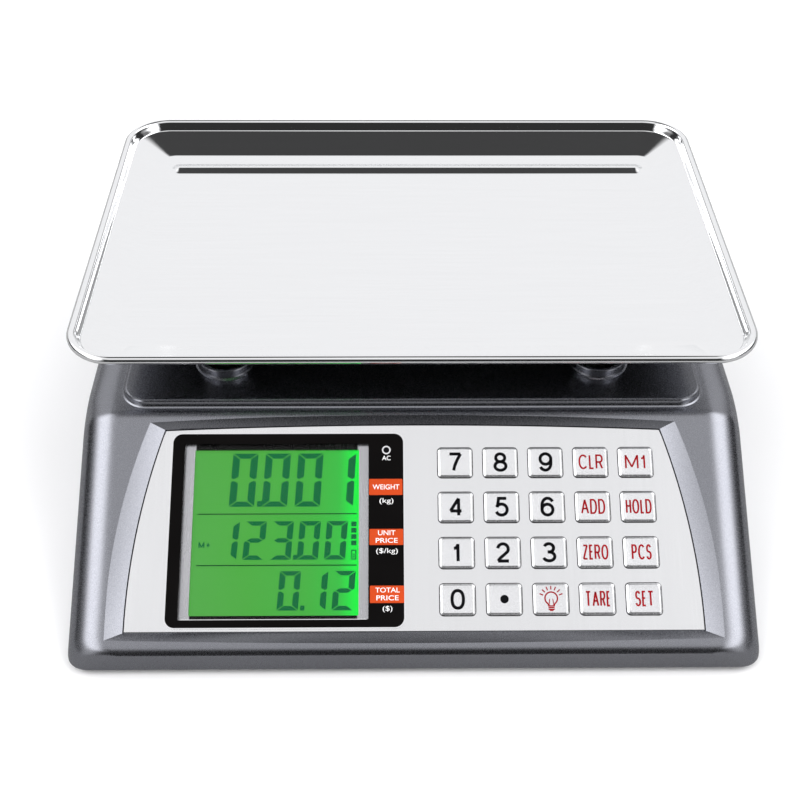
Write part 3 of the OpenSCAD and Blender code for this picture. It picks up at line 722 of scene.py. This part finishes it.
# Strokes of each sign on a unit square: lists of points, a closed stroke repeats its first point
def arc(cx, cy, rx, ry, a0, a1, n=14, p=1.0):
    out = []
    for i in range(n + 1):
        a = math.radians(a0 + (a1 - a0) * i / n)
        c, q = math.cos(a), math.sin(a)
        out.append((cx + rx * math.copysign(abs(c) ** p, c), cy + ry * math.copysign(abs(q) ** p, q)))
    return out


def signs():
    d = {}
    d["0"] = (0.66, [arc(0.5, 0.5, 0.5, 0.5, 0, 360, 36, 0.86)])
    d["1"] = (0.50, [[(0.66, 0.0), (0.66, 1.0)], [(0.66, 0.98), (0.52, 0.83), (0.34, 0.765), (0.10, 0.75)]])
    d["2"] = (0.66, [arc(0.5, 0.70, 0.47, 0.30, 172, -30) + [(0.60, 0.37), (0.22, 0.16), (0.03, 0.0), (1.0, 0.0)]])
    d["3"] = (0.66, [arc(0.48, 0.755, 0.42, 0.245, 158, -78) + [(0.36, 0.52)], [(0.36, 0.52), (0.5, 0.52)] + arc(0.47, 0.26, 0.51, 0.26, 72, -162)])
    d["4"] = (0.70, [[(0.74, 0.0), (0.74, 1.0), (0.0, 0.26), (1.0, 0.26)]])
    d["5"] = (0.66, [[(0.94, 1.0), (0.24, 1.0), (0.11, 0.47)] + arc(0.48, 0.33, 0.51, 0.33, 138, -158)])
    six = [arc(0.5, 0.32, 0.49, 0.32, 0, 360, 26), arc(0.54, 0.58, 0.52, 0.42, 32, 178) + [(0.01, 0.34)]]
    d["6"] = (0.66, six)
    d["9"] = (0.66, [[(1 - x, 1 - y) for x, y in st] for st in six])
    d["7"] = (0.66, [[(0.0, 1.0), (1.0, 1.0), (0.66, 0.60), (0.46, 0.28), (0.36, 0.0)]])
    d["8"] = (0.66, [arc(0.5, 0.76, 0.41, 0.24, 0, 360, 24), arc(0.5, 0.26, 0.5, 0.26, 0, 360, 26)])
    d["A"] = (0.80, [[(0.0, 0.0), (0.5, 1.0), (1.0, 0.0)], [(0.17, 0.34), (0.83, 0.34)]])
    d["C"] = (0.80, [arc(0.52, 0.5, 0.52, 0.5, 42, 318, 30, 0.92)])
    d["D"] = (0.70, [[(0.0, 0.0), (0.0, 1.0), (0.36, 1.0)] + arc(0.42, 0.5, 0.58, 0.5, 84, -84, 18, 0.9) + [(0.36, 0.0), (0.0, 0.0)]])
    d["E"] = (0.48, [[(1.0, 0.0), (0.0, 0.0), (0.0, 1.0), (0.97, 1.0)], [(0.0, 0.53), (0.90, 0.53)]])
    d["H"] = (0.62, [[(0.0, 0.0), (0.0, 1.0)], [(1.0, 0.0), (1.0, 1.0)], [(0.0, 0.53), (1.0, 0.53)]])
    d["L"] = (0.46, [[(0.0, 1.0), (0.0, 0.0), (1.0, 0.0)]])
    d["M"] = (1.0, [[(0.0, 0.0), (0.0, 1.0), (0.5, 0.10), (1.0, 1.0), (1.0, 0.0)]])
    d["O"] = (0.78, [arc(0.5, 0.5, 0.5, 0.5, 0, 360, 36, 0.9)])
    d["P"] = (0.64, [[(0.0, 0.0), (0.0, 1.0), (0.52, 1.0)] + arc(0.60, 0.74, 0.40, 0.26, 84, -84, 12) + [(0.52, 0.48), (0.0, 0.48)]])
    d["R"] = (0.66, d["P"][1] + [[(0.56, 0.48), (0.98, 0.0)]])
    d["S"] = (0.64, [arc(0.5, 0.755, 0.44, 0.245, 22, 250, 18) + arc(0.5, 0.26, 0.5, 0.26, 70, -160, 18)])
    d["T"] = (0.72, [[(0.0, 1.0), (1.0, 1.0)], [(0.5, 1.0), (0.5, 0.0)]])
    d["Z"] = (0.62, [[(0.02, 1.0), (1.0, 1.0), (0.0, 0.0), (1.0, 0.0)]])
    d["+"] = (0.80, [[(0.0, 0.5), (1.0, 0.5)], [(0.5, 0.12), (0.5, 0.88)]])
    return d


SIGNS = signs()


def ribbon(pts, t):
    """Left and right edges of a line of thickness t through the points, with mitred corners."""
    closed = math.dist(pts[0], pts[-1]) < 1e-6
    if closed:
        pts = pts[:-1]
    clean = [pts[0]]
    for q in pts[1:]:
        if math.dist(q, clean[-1]) > 1e-4:
            clean.append(q)
    pts, n = clean, len(clean)
    left, right = [], []
    for i in range(n):
        a = pts[i - 1] if (i > 0 or closed) else None
        b = pts[(i + 1) % n] if (i < n - 1 or closed) else None
        dirs = []
        if a is not None:
            l = math.dist(a, pts[i])
            dirs.append(((pts[i][0] - a[0]) / l, (pts[i][1] - a[1]) / l))
        if b is not None:
            l = math.dist(b, pts[i])
            dirs.append(((b[0] - pts[i][0]) / l, (b[1] - pts[i][1]) / l))
        nx, ny = -sum(v[1] for v in dirs), sum(v[0] for v in dirs)
        l = math.hypot(nx, ny) or 1.0
        nx, ny = nx / l, ny / l
        k = abs(-dirs[0][1] * nx + dirs[0][0] * ny)
        h = t / 2 / max(k, 0.42)
        left.append((pts[i][0] + nx * h, pts[i][1] + ny * h))
        right.append((pts[i][0] - nx * h, pts[i][1] - ny * h))
    return left, right, closed


def unfold(st):
    """Cuts a stroke where it turns by more than 100 degrees, so that its thickness holds at the corner."""
    out, cur = [], [st[0]]
    for i in range(1, len(st) - 1):
        cur.append(st[i])
        ax, ay = st[i][0] - st[i - 1][0], st[i][1] - st[i - 1][1]
        bx, by = st[i + 1][0] - st[i][0], st[i + 1][1] - st[i][1]
        la, lb = math.hypot(ax, ay), math.hypot(bx, by)
        if la > 1e-6 and lb > 1e-6 and (ax * bx + ay * by) / (la * lb) < -0.17:
            out.append(cur)
            cur = [st[i]]
    cur.append(st[-1])
    return out + [cur]


def lettering(name, word, width, height, t, place, mat, body, depth=0.16, gap=0.12):
    """Raised strokes of a word, its ink sized width by height (mm), centred on place."""
    total = sum(SIGNS[c][0] for c in word) + gap * (len(word) - 1)
    unit = width / total
    vs, fs = [], []
    x = -width / 2
    for c in word:
        wd = SIGNS[c][0] * unit
        for st in [q for whole in SIGNS[c][1] for q in unfold(whole)]:
            pts = [(x + t / 2 + px * (wd - t), -height / 2 + t / 2 + py * (height - t)) for px, py in st]
            left, right, closed = ribbon(pts, t)
            n = len(left)
            base = len(vs)
            for z in (0.0, depth):
                vs.extend(place @ Vector((px * MM, py * MM, z * MM)) for px, py in left)
                vs.extend(place @ Vector((px * MM, py * MM, z * MM)) for px, py in right)
            for i in range(n if closed else n - 1):
                j = (i + 1) % n
                l0, l1, r0, r1 = base + i, base + j, base + n + i, base + n + j
                o = 2 * n
                fs += [(r0 + o, r1 + o, l1 + o, l0 + o), (l0, l1, r1, r0), (l0, l0 + o, l1 + o, l1), (r0, r1, r1 + o, r0 + o)]
            if not closed:
                for i, flip in ((0, False), (n - 1, True)):
                    q = (base + i, base + n + i, base + 3 * n + i, base + 2 * n + i)
                    fs.append(q[::-1] if flip else q)
        x += wd + gap * unit
    ob = make(name, vs, fs, mat, smooth=False)
    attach(ob, body)
    return ob


LEGEND = {"clr": ("CLR", 12.0, 7.4), "m1": ("M1", 10.8, 7.4), "add": ("ADD", 11.8, 7.4), "hold": ("HOLD", 12.6, 7.2),
          "zero": ("ZERO", 12.4, 7.3), "pcs": ("PCS", 9.6, 7.4), "tare": ("TARE", 12.0, 7.4), "set": ("SET", 9.0, 7.4)}
for i, kname in enumerate(KEYS):
    col, row = i % 5, i // 5
    kx, ks = 64.8 + (col - 2) * 22.2, (1.5 - row) * 22.3
    kb = "key_%s_body" % kname
    cap = key_mesh("keycap_" + kname, kx, ks)
    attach(cap, kb)
    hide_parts("key_" + kname)
    top = panel_at(kx, ks, 1.30)
    if kname.isdigit():
        wd = {"1": 5.0}.get(kname, 6.9)
        lettering("legend_" + kname, kname, wd, 9.8, 1.52, top, key_black_m, kb)
    elif kname == "dot":
        dot = prism("legend_dot", [(2.0 * math.cos(2 * math.pi * k / 36), 2.0 * math.sin(2 * math.pi * k / 36)) for k in range(36)], 0.0, 0.16, key_black_m, top)
        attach(dot, kb)
    elif kname == "light":
        parts = []
        bulb_v, bulb_f = [], []

        def add_shape(pts, hole=None):
            base = len(bulb_v)
            if hole is None:
                k = len(pts)
                for z in (0.0, 0.16):
                    bulb_v.extend(top @ Vector((x * MM, y * MM, z * MM)) for x, y in pts)
                bulb_f.append(tuple(base + j for j in range(k - 1, -1, -1)))
                bulb_f.append(tuple(base + k + j for j in range(k)))
                for j in range(k):
                    q = (j + 1) % k
                    bulb_f.append((base + j, base + q, base + k + q, base + k + j))
            else:
                k = len(pts)
                for lp, z in ((pts, 0.0), (pts, 0.16), (hole, 0.16), (hole, 0.0)):
                    bulb_v.extend(top @ Vector((x * MM, y * MM, z * MM)) for x, y in lp)
                for a in range(4):
                    b2 = (a + 1) % 4
                    for j in range(k):
                        q = (j + 1) % k
                        bulb_f.append((base + a * k + j, base + a * k + q, base + b2 * k + q, base + b2 * k + j))

        def bulb_outline(rad, half, foot):
            pts = []
            for k in range(29):
                a = math.radians(-56 + 292 * k / 28)
                pts.append((rad * math.cos(a), 0.3 + rad * math.sin(a)))
            return pts + [(-half, foot), (half, foot)]

        add_shape(bulb_outline(3.3, 1.55, -3.55), bulb_outline(2.65, 1.0, -3.0))
        for yy in (-4.05, -4.95):
            add_shape([(-1.45, yy - 0.32), (1.45, yy - 0.32), (1.45, yy + 0.32), (-1.45, yy + 0.32)])
        add_shape([(-0.8, -5.75), (0.8, -5.75), (0.8, -5.3), (-0.8, -5.3)])
        for q in ((-1.1, -3.0, -0.75, 0.0), (1.1, -3.0, 0.75, 0.0)):
            x_a, y_a, x_b, y_b = q
            add_shape([(x_a - 0.2, y_a), (x_a + 0.2, y_a), (x_b + 0.2, y_b), (x_b - 0.2, y_b)])
        for k in range(7):
            a = math.radians(22 + 136 * k / 6)
            ca, sa = math.cos(a), math.sin(a)
            r0, r1, hwid = 4.1, 5.9, 0.28
            add_shape([(r0 * ca + hwid * sa, 0.3 + r0 * sa - hwid * ca), (r1 * ca + hwid * sa, 0.3 + r1 * sa - hwid * ca),
                       (r1 * ca - hwid * sa, 0.3 + r1 * sa + hwid * ca), (r0 * ca - hwid * sa, 0.3 + r0 * sa + hwid * ca)])
        icon = make("legend_light", bulb_v, bulb_f, key_red_m, smooth=False, fix=True)
        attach(icon, kb)
    else:
        t, wd, ht = LEGEND[kname]
        lettering("legend_" + kname, t, wd, ht, 0.84, top, key_red_m, kb)


# ------------------------------------------------------------------ display contents
def seg_digit(ch, x0, s0, w, h, t, slant):
    """Polygons of one seven-segment digit; x0 and s0 are its lower left corner."""
    on = {"0": "abcdef", "1": "bc", "2": "abged", "3": "abgcd", "4": "fgbc", "5": "afgcd", "6": "afgedc", "7": "abc", "8": "abcdefg", "9": "abcdfg"}[ch]
    v = t * 1.36
    gp = t * 0.13
    mid = h / 2
    shapes = {
        "a": [(gp, h), (w - gp, h), (w - gp - v, h - t), (gp + v, h - t)],
        "d": [(gp, 0), (w - gp, 0), (w - gp - v, t), (gp + v, t)],
        "g": [(gp + v * 0.35, mid), (gp + v, mid + t / 2), (w - gp - v, mid + t / 2), (w - gp - v * 0.35, mid), (w - gp - v, mid - t / 2), (gp + v, mid - t / 2)],
        "f": [(0, h - gp), (v, h - t - gp), (v, mid + t / 2 + gp), (v * 0.35, mid + gp), (0, mid + t * 0.3 + gp)],
        "e": [(0, gp), (v, t + gp), (v, mid - t / 2 - gp), (v * 0.35, mid - gp), (0, mid - t * 0.3 - gp)],
        "b": [(w, h - gp), (w - v, h - t - gp), (w - v, mid + t / 2 + gp), (w - v * 0.35, mid + gp), (w, mid + t * 0.3 + gp)],
        "c": [(w, gp), (w - v, t + gp), (w - v, mid - t / 2 - gp), (w - v * 0.35, mid - gp), (w, mid - t * 0.3 - gp)],
    }
    return [[(x0 + x + slant * y, s0 + y) for x, y in shapes[k]] for k in on]


def box_poly(x0, s0, x1, s1, sl=0.0):
    return [(x0, s0), (x1, s0), (x1 + sl * (s1 - s0), s1), (x0 + sl * (s1 - s0), s1)]


def polys_mesh(name, polys, matrix, z0, z1, mat, body="root"):
    vs, fs = [], []
    for p in polys:
        area = sum(p[i][0] * p[(i + 1) % len(p)][1] - p[(i + 1) % len(p)][0] * p[i][1] for i in range(len(p)))
        if area < 0:
            p = p[::-1]
        base, k = len(vs), len(p)
        for z in (z0, z1):
            vs.extend(matrix @ Vector((x * MM, y * MM, z * MM)) for x, y in p)
        fs.append(tuple(base + j for j in range(k - 1, -1, -1)))
        fs.append(tuple(base + k + j for j in range(k)))
        for j in range(k):
            q = (j + 1) % k
            fs.append((base + j, base + q, base + k + q, base + k + j))
    ob = make(name, vs, fs, mat, smooth=False)
    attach(ob, body)
    return ob


def number(text, x_right, s0, w, h, t, pitch, slant, polys):
    """Right-aligned number; x_right is the top right corner of the last digit."""
    digits = [c for c in text if c != "."]
    x = x_right - slant * h - w - pitch * (len(digits) - 1)
    i = 0
    for c in text:
        if c == ".":
            px = x - pitch + w + (pitch - w) * 0.36
            polys.append(box_poly(px, s0, px + t * 0.95, s0 + t * 1.1, slant))
        else:
            polys.extend(seg_digit(c, x, s0, w, h, t, slant))
            x += pitch


LCD_TOP = -2.8
rows = []
number("0.001", -28.2, 12.4, 12.4, 26.7, 2.6, 16.05, 0.056, rows)
number("123.00", -32.0, -13.6, 10.2, 18.8, 2.15, 13.1, 0.07, rows)
number("0.12", -28.1, -37.9, 10.2, 18.8, 2.15, 13.1, 0.07, rows)
for k in range(4):
    rows.append(box_poly(-30.4, 2.6 - 3.1 * k, -27.9, 4.9 - 3.1 * k))
rows += [box_poly(-30.4, -13.6, -27.9, -13.1), box_poly(-30.4, -9.4, -27.9, -8.9), box_poly(-30.4, -13.1, -29.9, -9.4),
         box_poly(-28.4, -13.1, -27.9, -9.4), box_poly(-29.6, -12.6, -28.7, -11.9), box_poly(-29.6, -11.5, -28.7, -10.9)]
polys_mesh("front_digits", rows, PAN, LCD_TOP - 0.02, LCD_TOP + 0.07, digit_m)
polys_mesh("display_rules", [box_poly(-105.0, 8.55, -27.8, 9.05), box_poly(-104.8, -16.55, -27.8, -16.05)], PAN, LCD_TOP - 0.02, LCD_TOP + 0.07, rule_m)
lettering("memory_sign", "M+", 5.8, 3.3, 0.6, panel_at(-101.2, -6.4, LCD_TOP - 0.02), digit_m, "root", 0.09, 0.2)

rear = []
REAR = Matrix.Translation((0, (HD - 4.5) * MM, 39 * MM)) @ Matrix.Rotation(math.pi, 4, "Z") @ Matrix.Rotation(math.pi / 2, 4, "X")
number("0.001", -25.5, -7.2, 7.0, 14.4, 1.4, 9.2, 0.06, rear)
number("123.00", 23.0, -7.2, 6.4, 14.4, 1.4, 8.3, 0.06, rear)
number("0.12", 62.5, -7.2, 7.0, 14.4, 1.4, 9.2, 0.06, rear)
polys_mesh("rear_digits", rear, REAR, -0.05, 0.08, digit_m)

# bezel: captions, patches and bright edge
BZ = 1.2
patches = [(17.2, 25.2), (-7.3, 0.5), (-35.0, -26.8)]
for k, (s0, s1) in enumerate(patches):
    xx = -21.9 + 0.25 * k
    patch = prism("caption_patch_%d" % (k + 1), rounded(8.15, (s1 - s0) / 2, 0.35, 3, xx + 8.3, (s0 + s1) / 2), BZ - 0.03, BZ + 0.04, orange_m, PAN, False)
    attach(patch, "root")
cap = [("weight_caption", "WEIGHT", -13.5, 21.2, 13.0, 2.5), ("unit_caption_a", "UNIT", -13.2, -1.4, 8.4, 2.35), ("unit_caption_b", "PRICE", -13.2, -5.1, 10.6, 2.35),
       ("total_caption_a", "TOTAL", -12.9, -28.9, 11.6, 2.35), ("total_caption_b", "PRICE", -12.9, -32.6, 10.6, 2.35),
       ("kg_caption", "(kg)", -13.3, 14.1, 6.8, 3.1), ("perkg_caption", "($/kg)", -13.1, -10.4, 10.4, 3.1), ("money_caption", "($)", -12.9, -37.9, 4.6, 3.1),
       ("ac_caption", "AC", -13.3, 35.7, 4.2, 2.3)]
for nm, t, x, s, wd, ht in cap:
    text_mesh(nm, t, wd, ht, panel_at(x, s, BZ - 0.02), white_m, 0.09, 0.0 if "(" in t else 0.008)


def ring_prism(name, outer, hole, z0, z1, mat, matrix, body="root", fix=True):
    k = len(outer)
    loops = [[matrix @ Vector((x * MM, y * MM, z * MM)) for x, y in lp] for lp, z in ((outer, z0), (outer, z1), (hole, z1), (hole, z0))]
    v, f = loft(loops, closed_ring=True)
    ob = make(name, v, f, mat, fix=fix)
    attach(ob, body)
    return ob


rim = ring_prism("bezel_rim", rounded(57.1, 47.85, 4.9, 8, -61.5, 0.95), rounded(56.3, 47.05, 4.3, 8, -61.5, 0.95), 0.02, 0.75, trim_m, PAN)
lamp_rim = ring_prism("lamp_rim", rounded(2.15, 2.15, 2.149, 8, -13.3, 39.6), rounded(1.45, 1.45, 1.449, 8, -13.3, 39.6), 1.15, 1.75, trim_m, PAN)
# bright line along the lower edge of the display opening
ledge = prism("display_ledge", [(-111.2, -42.55), (-22.8, -42.55), (-23.2, -42.2), (-110.8, -42.2)], -1.2, -0.4, trim_m, PAN)
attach(ledge, "root")

# ------------------------------------------------------------------ carried-over CAD nodes
LOOKS = {
    "tray_cups": cup_m, "spider_bracket": cast_m, "free_end_bolts": bolt_m, "load_cell": cast_m, "load_cell_base": painted_m,
    "fixed_end_bolts": bolt_m, "overload_stops": bolt_m, "base_housing": base_m, "face_plate": plate_m, "display_bezel": black_m,
    "display_window": window_m, "lcd_frame": lcd_frame_shade_m, "front_lcd": lcd_m, "backlight": backlight_m, "ac_indicator": key_black_m,
    "keypad_mat": mat_m, "keypad_pcb": pcb_m, "main_pcb": pcb_m, "transformer": painted_m, "battery": base_m, "battery_door": base_m,
    "rear_bezel": black_m, "rear_lcd": rear_lcd_m, "switch_housing": black_m, "power_rocker": black_m, "power_inlet": black_m,
    "bubble_level": vial_m, "housing_screws": bolt_m, "load_cell_cable": cable_m, "battery_leads": lead_m,
}
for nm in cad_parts:
    if nm.startswith("foot_pad"):
        LOOKS[nm] = rubber_m
    if nm.startswith("foot_stud"):
        LOOKS[nm] = bolt_m
SOFT_EDGES = {"face_plate": 0.12, "display_bezel": 0.3, "lcd_frame": 0.25, "rear_bezel": 0.4, "base_housing": 0.4, "battery_door": 0.3,
              "switch_housing": 0.4, "power_inlet": 0.4, "power_rocker": 0.3, "transformer": 0.5, "battery": 0.6, "load_cell": 0.3,
              "spider_bracket": 0.5}
for nm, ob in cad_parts.items():
    if nm not in LOOKS:
        continue
    ob.data.materials.clear()
    ob.data.materials.append(LOOKS[nm])
    if nm in SOFT_EDGES:
        soften(ob, SOFT_EDGES[nm], 2, 40, weighted=False)

# ------------------------------------------------------------------ load cell beam, a copy cut into short sections along its length
CELL_Y = 50.9
beam = bpy.data.objects.new("load_cell_beam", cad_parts["load_cell"].data.copy())
SC.collection.objects.link(beam)
beam.matrix_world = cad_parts["load_cell"].matrix_world.copy()
bpy.context.view_layer.update()
bm = bmesh.new()
bm.from_mesh(beam.data)
bm.transform(beam.matrix_world)
beam.matrix_world = Matrix.Identity(4)
for y in (-20, -14, -7, 0, 7, 14, 20, 27, 34):
    bmesh.ops.bisect_plane(bm, geom=bm.verts[:] + bm.edges[:] + bm.faces[:], plane_co=(0, (CELL_Y + y) * MM, 0), plane_no=(0, 1, 0))
bmesh.ops.triangulate(bm, faces=bm.faces)
bm.to_mesh(beam.data)
bm.free()
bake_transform(beam)
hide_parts("load_cell")

# ------------------------------------------------------------------ floor and light
floor_me = bpy.data.meshes.new("floor")
floor_me.from_pydata([(-6, -6, 0), (6, -6, 0), (6, 6, 0), (-6, 6, 0)], [], [(0, 1, 2, 3)])
floor = bpy.data.objects.new("floor", floor_me)
SC.collection.objects.link(floor)
fm = M("pale_floor")
fm.set(Roughness=0.85, Specular_IOR_Level=0.1)
fn = fm.noise(3.0, 2.0)
fr = fm.ramp(fn, "Fac", [(0.3, (0.93, 0.93, 0.93)), (0.7, (0.95, 0.95, 0.95))])
fm.l(fr, "Color", fm.b, "Base Color")
floor.data.materials.append(fm.mat)

world = bpy.data.worlds.new("studio")
SC.world = world
world.use_nodes = True
wt = world.node_tree
wt.nodes.clear()


def wn(kind, **props):
    node = wt.nodes.new(kind)
    for k, v in props.items():
        setattr(node, k, v)
    return node


def wm(op, a, b=None, clamp=False):
    node = wn("ShaderNodeMath", operation=op, use_clamp=clamp)
    for i, v in enumerate((a, b)):
        if v is None:
            continue
        if isinstance(v, (int, float)):
            node.inputs[i].default_value = v
        else:
            wt.links.new(v, node.inputs[i])
    return node.outputs[0]


w_co = wn("ShaderNodeTexCoord")
w_sep = wn("ShaderNodeSeparateXYZ")
wt.links.new(w_co.outputs["Generated"], w_sep.inputs["Vector"])
WX, WY, WZ = w_sep.outputs[0], w_sep.outputs[1], w_sep.outputs[2]


def step(v, edge, soft):
    """0 below edge - soft, 1 above edge + soft."""
    return wm("MULTIPLY", wm("SUBTRACT", v, edge - soft), 0.5 / soft, True)


def both(*parts):
    out = parts[0]
    for p in parts[1:]:
        out = wm("MULTIPLY", out, p)
    return out


def inv(v):
    return wm("SUBTRACT", 1.0, v)


AX = wm("ABSOLUTE", WX)
back = step(WY, 0.02, 0.05)
front = inv(back)
# soft studio room: bright sky, dim low front, dark patch high behind, wide soft boxes at the sides
low_front = both(front, inv(step(WZ, 0.72, 0.10)), inv(step(AX, 0.55, 0.10)))
high_back = both(step(WY, 0.0, 0.10), step(WZ, 0.775, 0.035), inv(step(WZ, 0.995, 0.004)), inv(step(AX, 0.30, 0.06)))
side_box = both(step(AX, 0.47, 0.08), inv(step(AX, 0.84, 0.05)), step(WZ, 0.40, 0.08), inv(step(WY, 0.35, 0.15)))
far_side = both(step(AX, 0.86, 0.05), inv(step(WZ, 0.42, 0.08)))
low_corner = both(step(WY, 0.1, 0.1), step(AX, 0.36, 0.08), inv(step(WZ, 0.26, 0.10)))
total = wm("ADD", 0.94, wm("MULTIPLY", side_box, 2.35))
total = wm("ADD", total, wm("MULTIPLY", low_front, -0.91))
total = wm("ADD", total, wm("MULTIPLY", high_back, -0.885))
total = wm("ADD", total, wm("MULTIPLY", far_side, -0.74))
total = wm("ADD", total, wm("MULTIPLY", low_corner, -0.62))
total = wm("MAXIMUM", total, 0.03)
w_em = wn("ShaderNodeBackground")
w_em.inputs["Color"].default_value = (0.985, 0.985, 1.0, 1)
wt.links.new(total, w_em.inputs["Strength"])
w_out = wn("ShaderNodeOutputWorld")
wt.links.new(w_em.outputs["Background"], w_out.inputs["Surface"])


def area(name, loc, target, size, power, size_y=None):
    ld = bpy.data.lights.new(name, "AREA")
    ld.energy = power
    ld.size = size
    if size_y:
        ld.shape = "RECTANGLE"
        ld.size_y = size_y
    ld.use_custom_distance = False
    lo = bpy.data.objects.new(name, ld)
    SC.collection.objects.link(lo)
    lo.location = loc
    lo.rotation_mode = "QUATERNION"
    lo.rotation_quaternion = (Vector(target) - Vector(loc)).to_track_quat("-Z", "Y")
    return lo


for lamp in (area("key_light", (-0.7, -0.9, 1.9), (0, 0, 0.05), 1.2, 7.0), area("fill_light", (0.8, -0.3, 1.9), (0, 0, 0.05), 1.2, 6.0),
             area("back_light", (0.0, 1.1, 1.9), (0, 0, 0.05), 1.2, 5.0)):
    lamp.visible_glossy = False


def card(name, corners, value):
    """Dark card that only reflections see."""
    me = bpy.data.meshes.new(name)
    me.from_pydata([tuple(c) for c in corners], [], [(0, 1, 2, 3)])
    ob = bpy.data.objects.new(name, me)
    SC.collection.objects.link(ob)
    m = M(name + "_mat")
    m.set(Roughness=1.0, Specular_IOR_Level=0.0)
    n = m.noise(2.0, 1.0)
    r = m.ramp(n, "Fac", [(0.3, (value * 0.95,) * 3), (0.7, (value * 1.05,) * 3)])
    co = m.n("ShaderNodeTexCoord")
    sep = m.n("ShaderNodeSeparateXYZ")
    m.l(co, "Object", sep, "Vector")
    t = m.span(sep, "Y", 0.06, 1.0, -0.75, -0.38)
    mix = m.n("ShaderNodeMix", data_type="RGBA", blend_type="MULTIPLY")
    mix.inputs["Factor"].default_value = 1.0
    m.l(r, "Color", mix, "A")
    m.l(t, "Result", mix, "B")
    m.l(mix, "Result", m.b, "Base Color")
    me.materials.append(m.mat)
    ob.visible_camera = False
    ob.visible_diffuse = False
    ob.visible_shadow = False
    ob.visible_transmission = False
    return ob


card("floor_card", [(-2.5, -5.0, 0.0004), (2.5, -5.0, 0.0004), (2.5, 1.0, 0.0004), (-2.5, 1.0, 0.0004)], 0.34)

def backdrop(radius, height, n=64):
    """Pale drum round the floor that only the camera sees."""
    ring = [(radius * math.cos(2 * math.pi * i / n), radius * math.sin(2 * math.pi * i / n)) for i in range(n)]
    vs = [(x, y, -0.01) for x, y in ring] + [(x, y, height) for x, y in ring] + [(0, 0, height)]
    fs = [(i, (i + 1) % n, n + (i + 1) % n, n + i) for i in range(n)] + [(n + i, n + (i + 1) % n, 2 * n) for i in range(n)]
    me = bpy.data.meshes.new("backdrop")
    me.from_pydata(vs, [], fs)
    ob = bpy.data.objects.new("backdrop", me)
    SC.collection.objects.link(ob)
    m = M("backdrop_mat")
    m.set(Roughness=1.0, Specular_IOR_Level=0.0)
    m.b.inputs["Base Color"].default_value = (0, 0, 0, 1)
    m.b.inputs["Emission Strength"].default_value = 1.0
    n1 = m.noise(1.0, 1.0)
    r1 = m.ramp(n1, "Fac", [(0.3, (0.98, 0.98, 0.985)), (0.7, (1.0, 1.0, 1.0))])
    co = m.n("ShaderNodeTexCoord")
    sep = m.n("ShaderNodeSeparateXYZ")
    m.l(co, "Object", sep, "Vector")
    fade = m.span(sep, "Z", 1.0, 0.60, 0.05, 1.5)
    mix = m.n("ShaderNodeMix", data_type="RGBA", blend_type="MULTIPLY")
    mix.inputs["Factor"].default_value = 1.0
    m.l(r1, "Color", mix, "A")
    m.l(fade, "Result", mix, "B")
    m.l(mix, "Result", m.b, "Emission Color")
    me.materials.append(m.mat)
    ob.visible_diffuse = False
    ob.visible_glossy = False
    ob.visible_shadow = False
    ob.visible_transmission = False
    ob.visible_volume_scatter = False


backdrop(5.6, 4.5)

SC.view_settings.view_transform = "Standard"
SC.view_settings.look = "None"
SC.view_settings.exposure = 0.0
